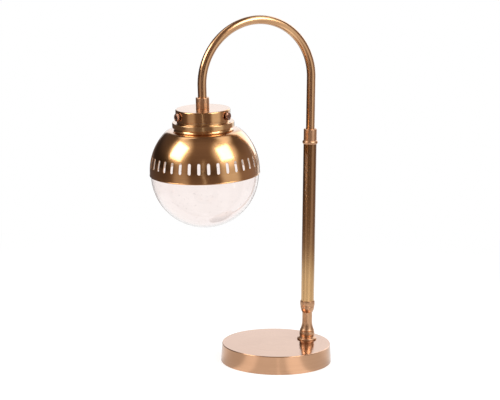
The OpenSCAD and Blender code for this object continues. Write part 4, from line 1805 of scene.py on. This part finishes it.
    def column(self, desk: NodeDesk, way: bpy.types.NodeSocket, patch: Column) -> bpy.types.NodeSocket:
        """Brightness of an upright patch.

        Its smooth step is of the cosine between the level parts of the direction and of the
        patch, times one of the height.

        Args:
            desk: The tree's desk.
            way: The direction that is looked along.
            patch: The patch.

        Returns:
            The brightness's socket.
        """
        x, y, z = desk.parts(way)
        facing = self.direction(patch.side, 0.0)
        along = desk.math(
            "ADD",
            desk.math("MULTIPLY", x, float(facing[0])),
            desk.math("MULTIPLY", y, float(facing[1])),
        )
        level = desk.math("MAXIMUM", desk.reach(x, y), 1.0e-4)
        near = desk.math("DIVIDE", along, level)
        outer, inner = patch.half + patch.soft / 2.0, patch.half - patch.soft / 2.0
        low, high = (math.cos(math.radians(a)) for a in (outer, inner))
        wide = desk.fit(near, low, high, 0.0, patch.strength, True)
        base, top = (math.sin(math.radians(a)) for a in (patch.low, patch.high))
        return desk.math("MULTIPLY", wide, desk.fit(z, base, top, 1.0, 0.0, True))

    def warmed(self, desk: NodeDesk, level: bpy.types.NodeSocket) -> list[bpy.types.NodeSocket]:
        """Red, green and blue of a brightness: brown where it is dim, white where it is bright.

        Args:
            desk: The tree's desk.
            level: The brightness.

        Returns:
            The three channels' sockets.
        """
        shares = [
            desk.fit(level, *self.dusk_range, start, 1.0, True) for start in self.dusk_tint
        ]
        return [desk.math("MULTIPLY", level, share) for share in shares]

    def add_world(self) -> None:
        """White for the camera and through glass, a soft studio for reflections, and fill."""
        desk = NodeDesk(bpy.data.worlds.new("studio"), "ShaderNodeOutputWorld")
        way = desk.coordinates.outputs["Generated"]
        patches = [self.glow(desk, way, patch) for patch in self.glows]
        patches += [self.column(desk, way, patch) for patch in self.columns]
        warm = desk.total([self.dark] + patches)
        back = self.column(desk, way, self.backdrop)
        shares = self.warmed(desk, warm)
        colour = desk.join(
            *(
                desk.math("MULTIPLY_ADD", back, tint, share)
                for tint, share in zip(self.backdrop_tint, shares)
            )
        )
        glossy = desk.add("ShaderNodeBackground")
        desk.feed(glossy.inputs["Color"], colour)
        fill = desk.add("ShaderNodeBackground")
        fill.inputs["Color"].default_value = (1.0, 1.0, 1.0, 1.0)
        fill.inputs["Strength"].default_value = self.fill
        white = desk.add("ShaderNodeBackground")
        white.inputs["Color"].default_value = (1.0, 1.0, 1.0, 1.0)
        path = desk.add("ShaderNodeLightPath")
        seen = desk.math(
            "MAXIMUM", path.outputs["Is Camera Ray"], path.outputs["Is Transmission Ray"]
        )
        first = desk.mix_shaders(path.outputs["Is Glossy Ray"], fill, glossy)
        last = desk.mix_shaders(seen, first, white)
        desk.feed(desk.output.inputs["Surface"], last.outputs[0])
        bpy.context.scene.world = desk.owner

    def add_floor(self) -> None:
        """Pale floor: soft shadow for the camera, a lit table top in the metal's reflections."""
        desk = NodeDesk.for_material("floor")
        path = desk.add("ShaderNodeLightPath")
        x, y, _ = desk.parts(desk.coordinates.outputs["Object"])
        reach = desk.reach(x, y)
        paper = desk.add("ShaderNodeBsdfDiffuse")
        paper.inputs["Color"].default_value = (0.8, 0.8, 0.8, 1.0)
        lift = desk.add("ShaderNodeEmission")
        lift.inputs["Strength"].default_value = 0.6
        lit = desk.add("ShaderNodeAddShader")
        desk.feed(lit.inputs[0], paper.outputs[0])
        desk.feed(lit.inputs[1], lift.outputs[0])
        white = desk.add("ShaderNodeEmission")
        blank = desk.fit(reach, 0.45, 1.1, 0.0, 1.0, True)
        blank = desk.math("MAXIMUM", blank, path.outputs["Is Transmission Ray"])
        shown = desk.mix_shaders(blank, lit, white)
        far = desk.fit(reach, *self.far_floor, 0.0, 1.0, True)
        close = desk.math("SUBTRACT", 1.0, far)
        spot = desk.coordinates.outputs["Object"]
        bands = [desk.math("MULTIPLY", self.column(desk, spot, patch), far) for patch in self.columns]
        bands += [
            desk.math("MULTIPLY", self.column(desk, spot, patch), close)
            for patch in self.near_columns
        ]
        ramp = desk.add("ShaderNodeValToRGB")
        span = self.floor_glow[-1][0]
        stops = ramp.color_ramp.elements
        while len(stops) < len(self.floor_glow):
            stops.new(0.5)
        for stop, (place, value) in zip(stops, self.floor_glow):
            stop.position = place / span
            stop.color = (value, value, value, 1.0)
        desk.feed(ramp.inputs[0], desk.math("DIVIDE", reach, span))
        mirror = desk.add("ShaderNodeEmission")
        level = desk.total([ramp.outputs[0]] + bands)
        desk.feed(mirror.inputs["Color"], desk.join(*self.warmed(desk, level)))
        seen = desk.math(
            "MAXIMUM", path.outputs["Is Camera Ray"], path.outputs["Is Transmission Ray"]
        )
        under = desk.add("ShaderNodeAddShader")
        glare = desk.add("ShaderNodeEmission")
        glare.inputs["Strength"].default_value = self.floor_fill
        desk.feed(under.inputs[0], paper.outputs[0])
        desk.feed(under.inputs[1], glare.outputs[0])
        soft = desk.mix_shaders(path.outputs["Is Diffuse Ray"], paper, under)
        first = desk.mix_shaders(path.outputs["Is Glossy Ray"], soft, mirror)
        last = desk.mix_shaders(seen, first, shown)
        desk.feed(desk.output.inputs["Surface"], last.outputs[0])
        r = self.floor_reach
        data = bpy.data.meshes.new("floor")
        corners = [(-r, -r, 0.0), (r, -r, 0.0), (r, r, 0.0), (-r, r, 0.0)]
        data.from_pydata(corners, [], [(0, 1, 2, 3)])
        data.materials.append(desk.owner)
        floor = bpy.data.objects.new("floor", data)
        bpy.context.scene.collection.objects.link(floor)

    def build(self) -> None:
        """Sets up everything round the lamp."""
        bpy.context.scene.view_settings.view_transform = "Standard"
        self.add_camera()
        self.add_world()
        self.add_softbox("lamp_left", -110.5, 35.2)
        self.add_softbox("lamp_right", 128.0, 40.8)
        self.add_floor()


def main() -> None:
    """Sets up the studio and builds the sub-assemblies in order."""
    logging.basicConfig(level=logging.INFO)
    Studio().build()
    book = FinishBook()
    for kind in (Base, RodStack, TurnedPost, CrookArm, Fitter, Shade, Globe, Lampholder):
        kind(book).build()


if __name__ == "__main__":
    main()
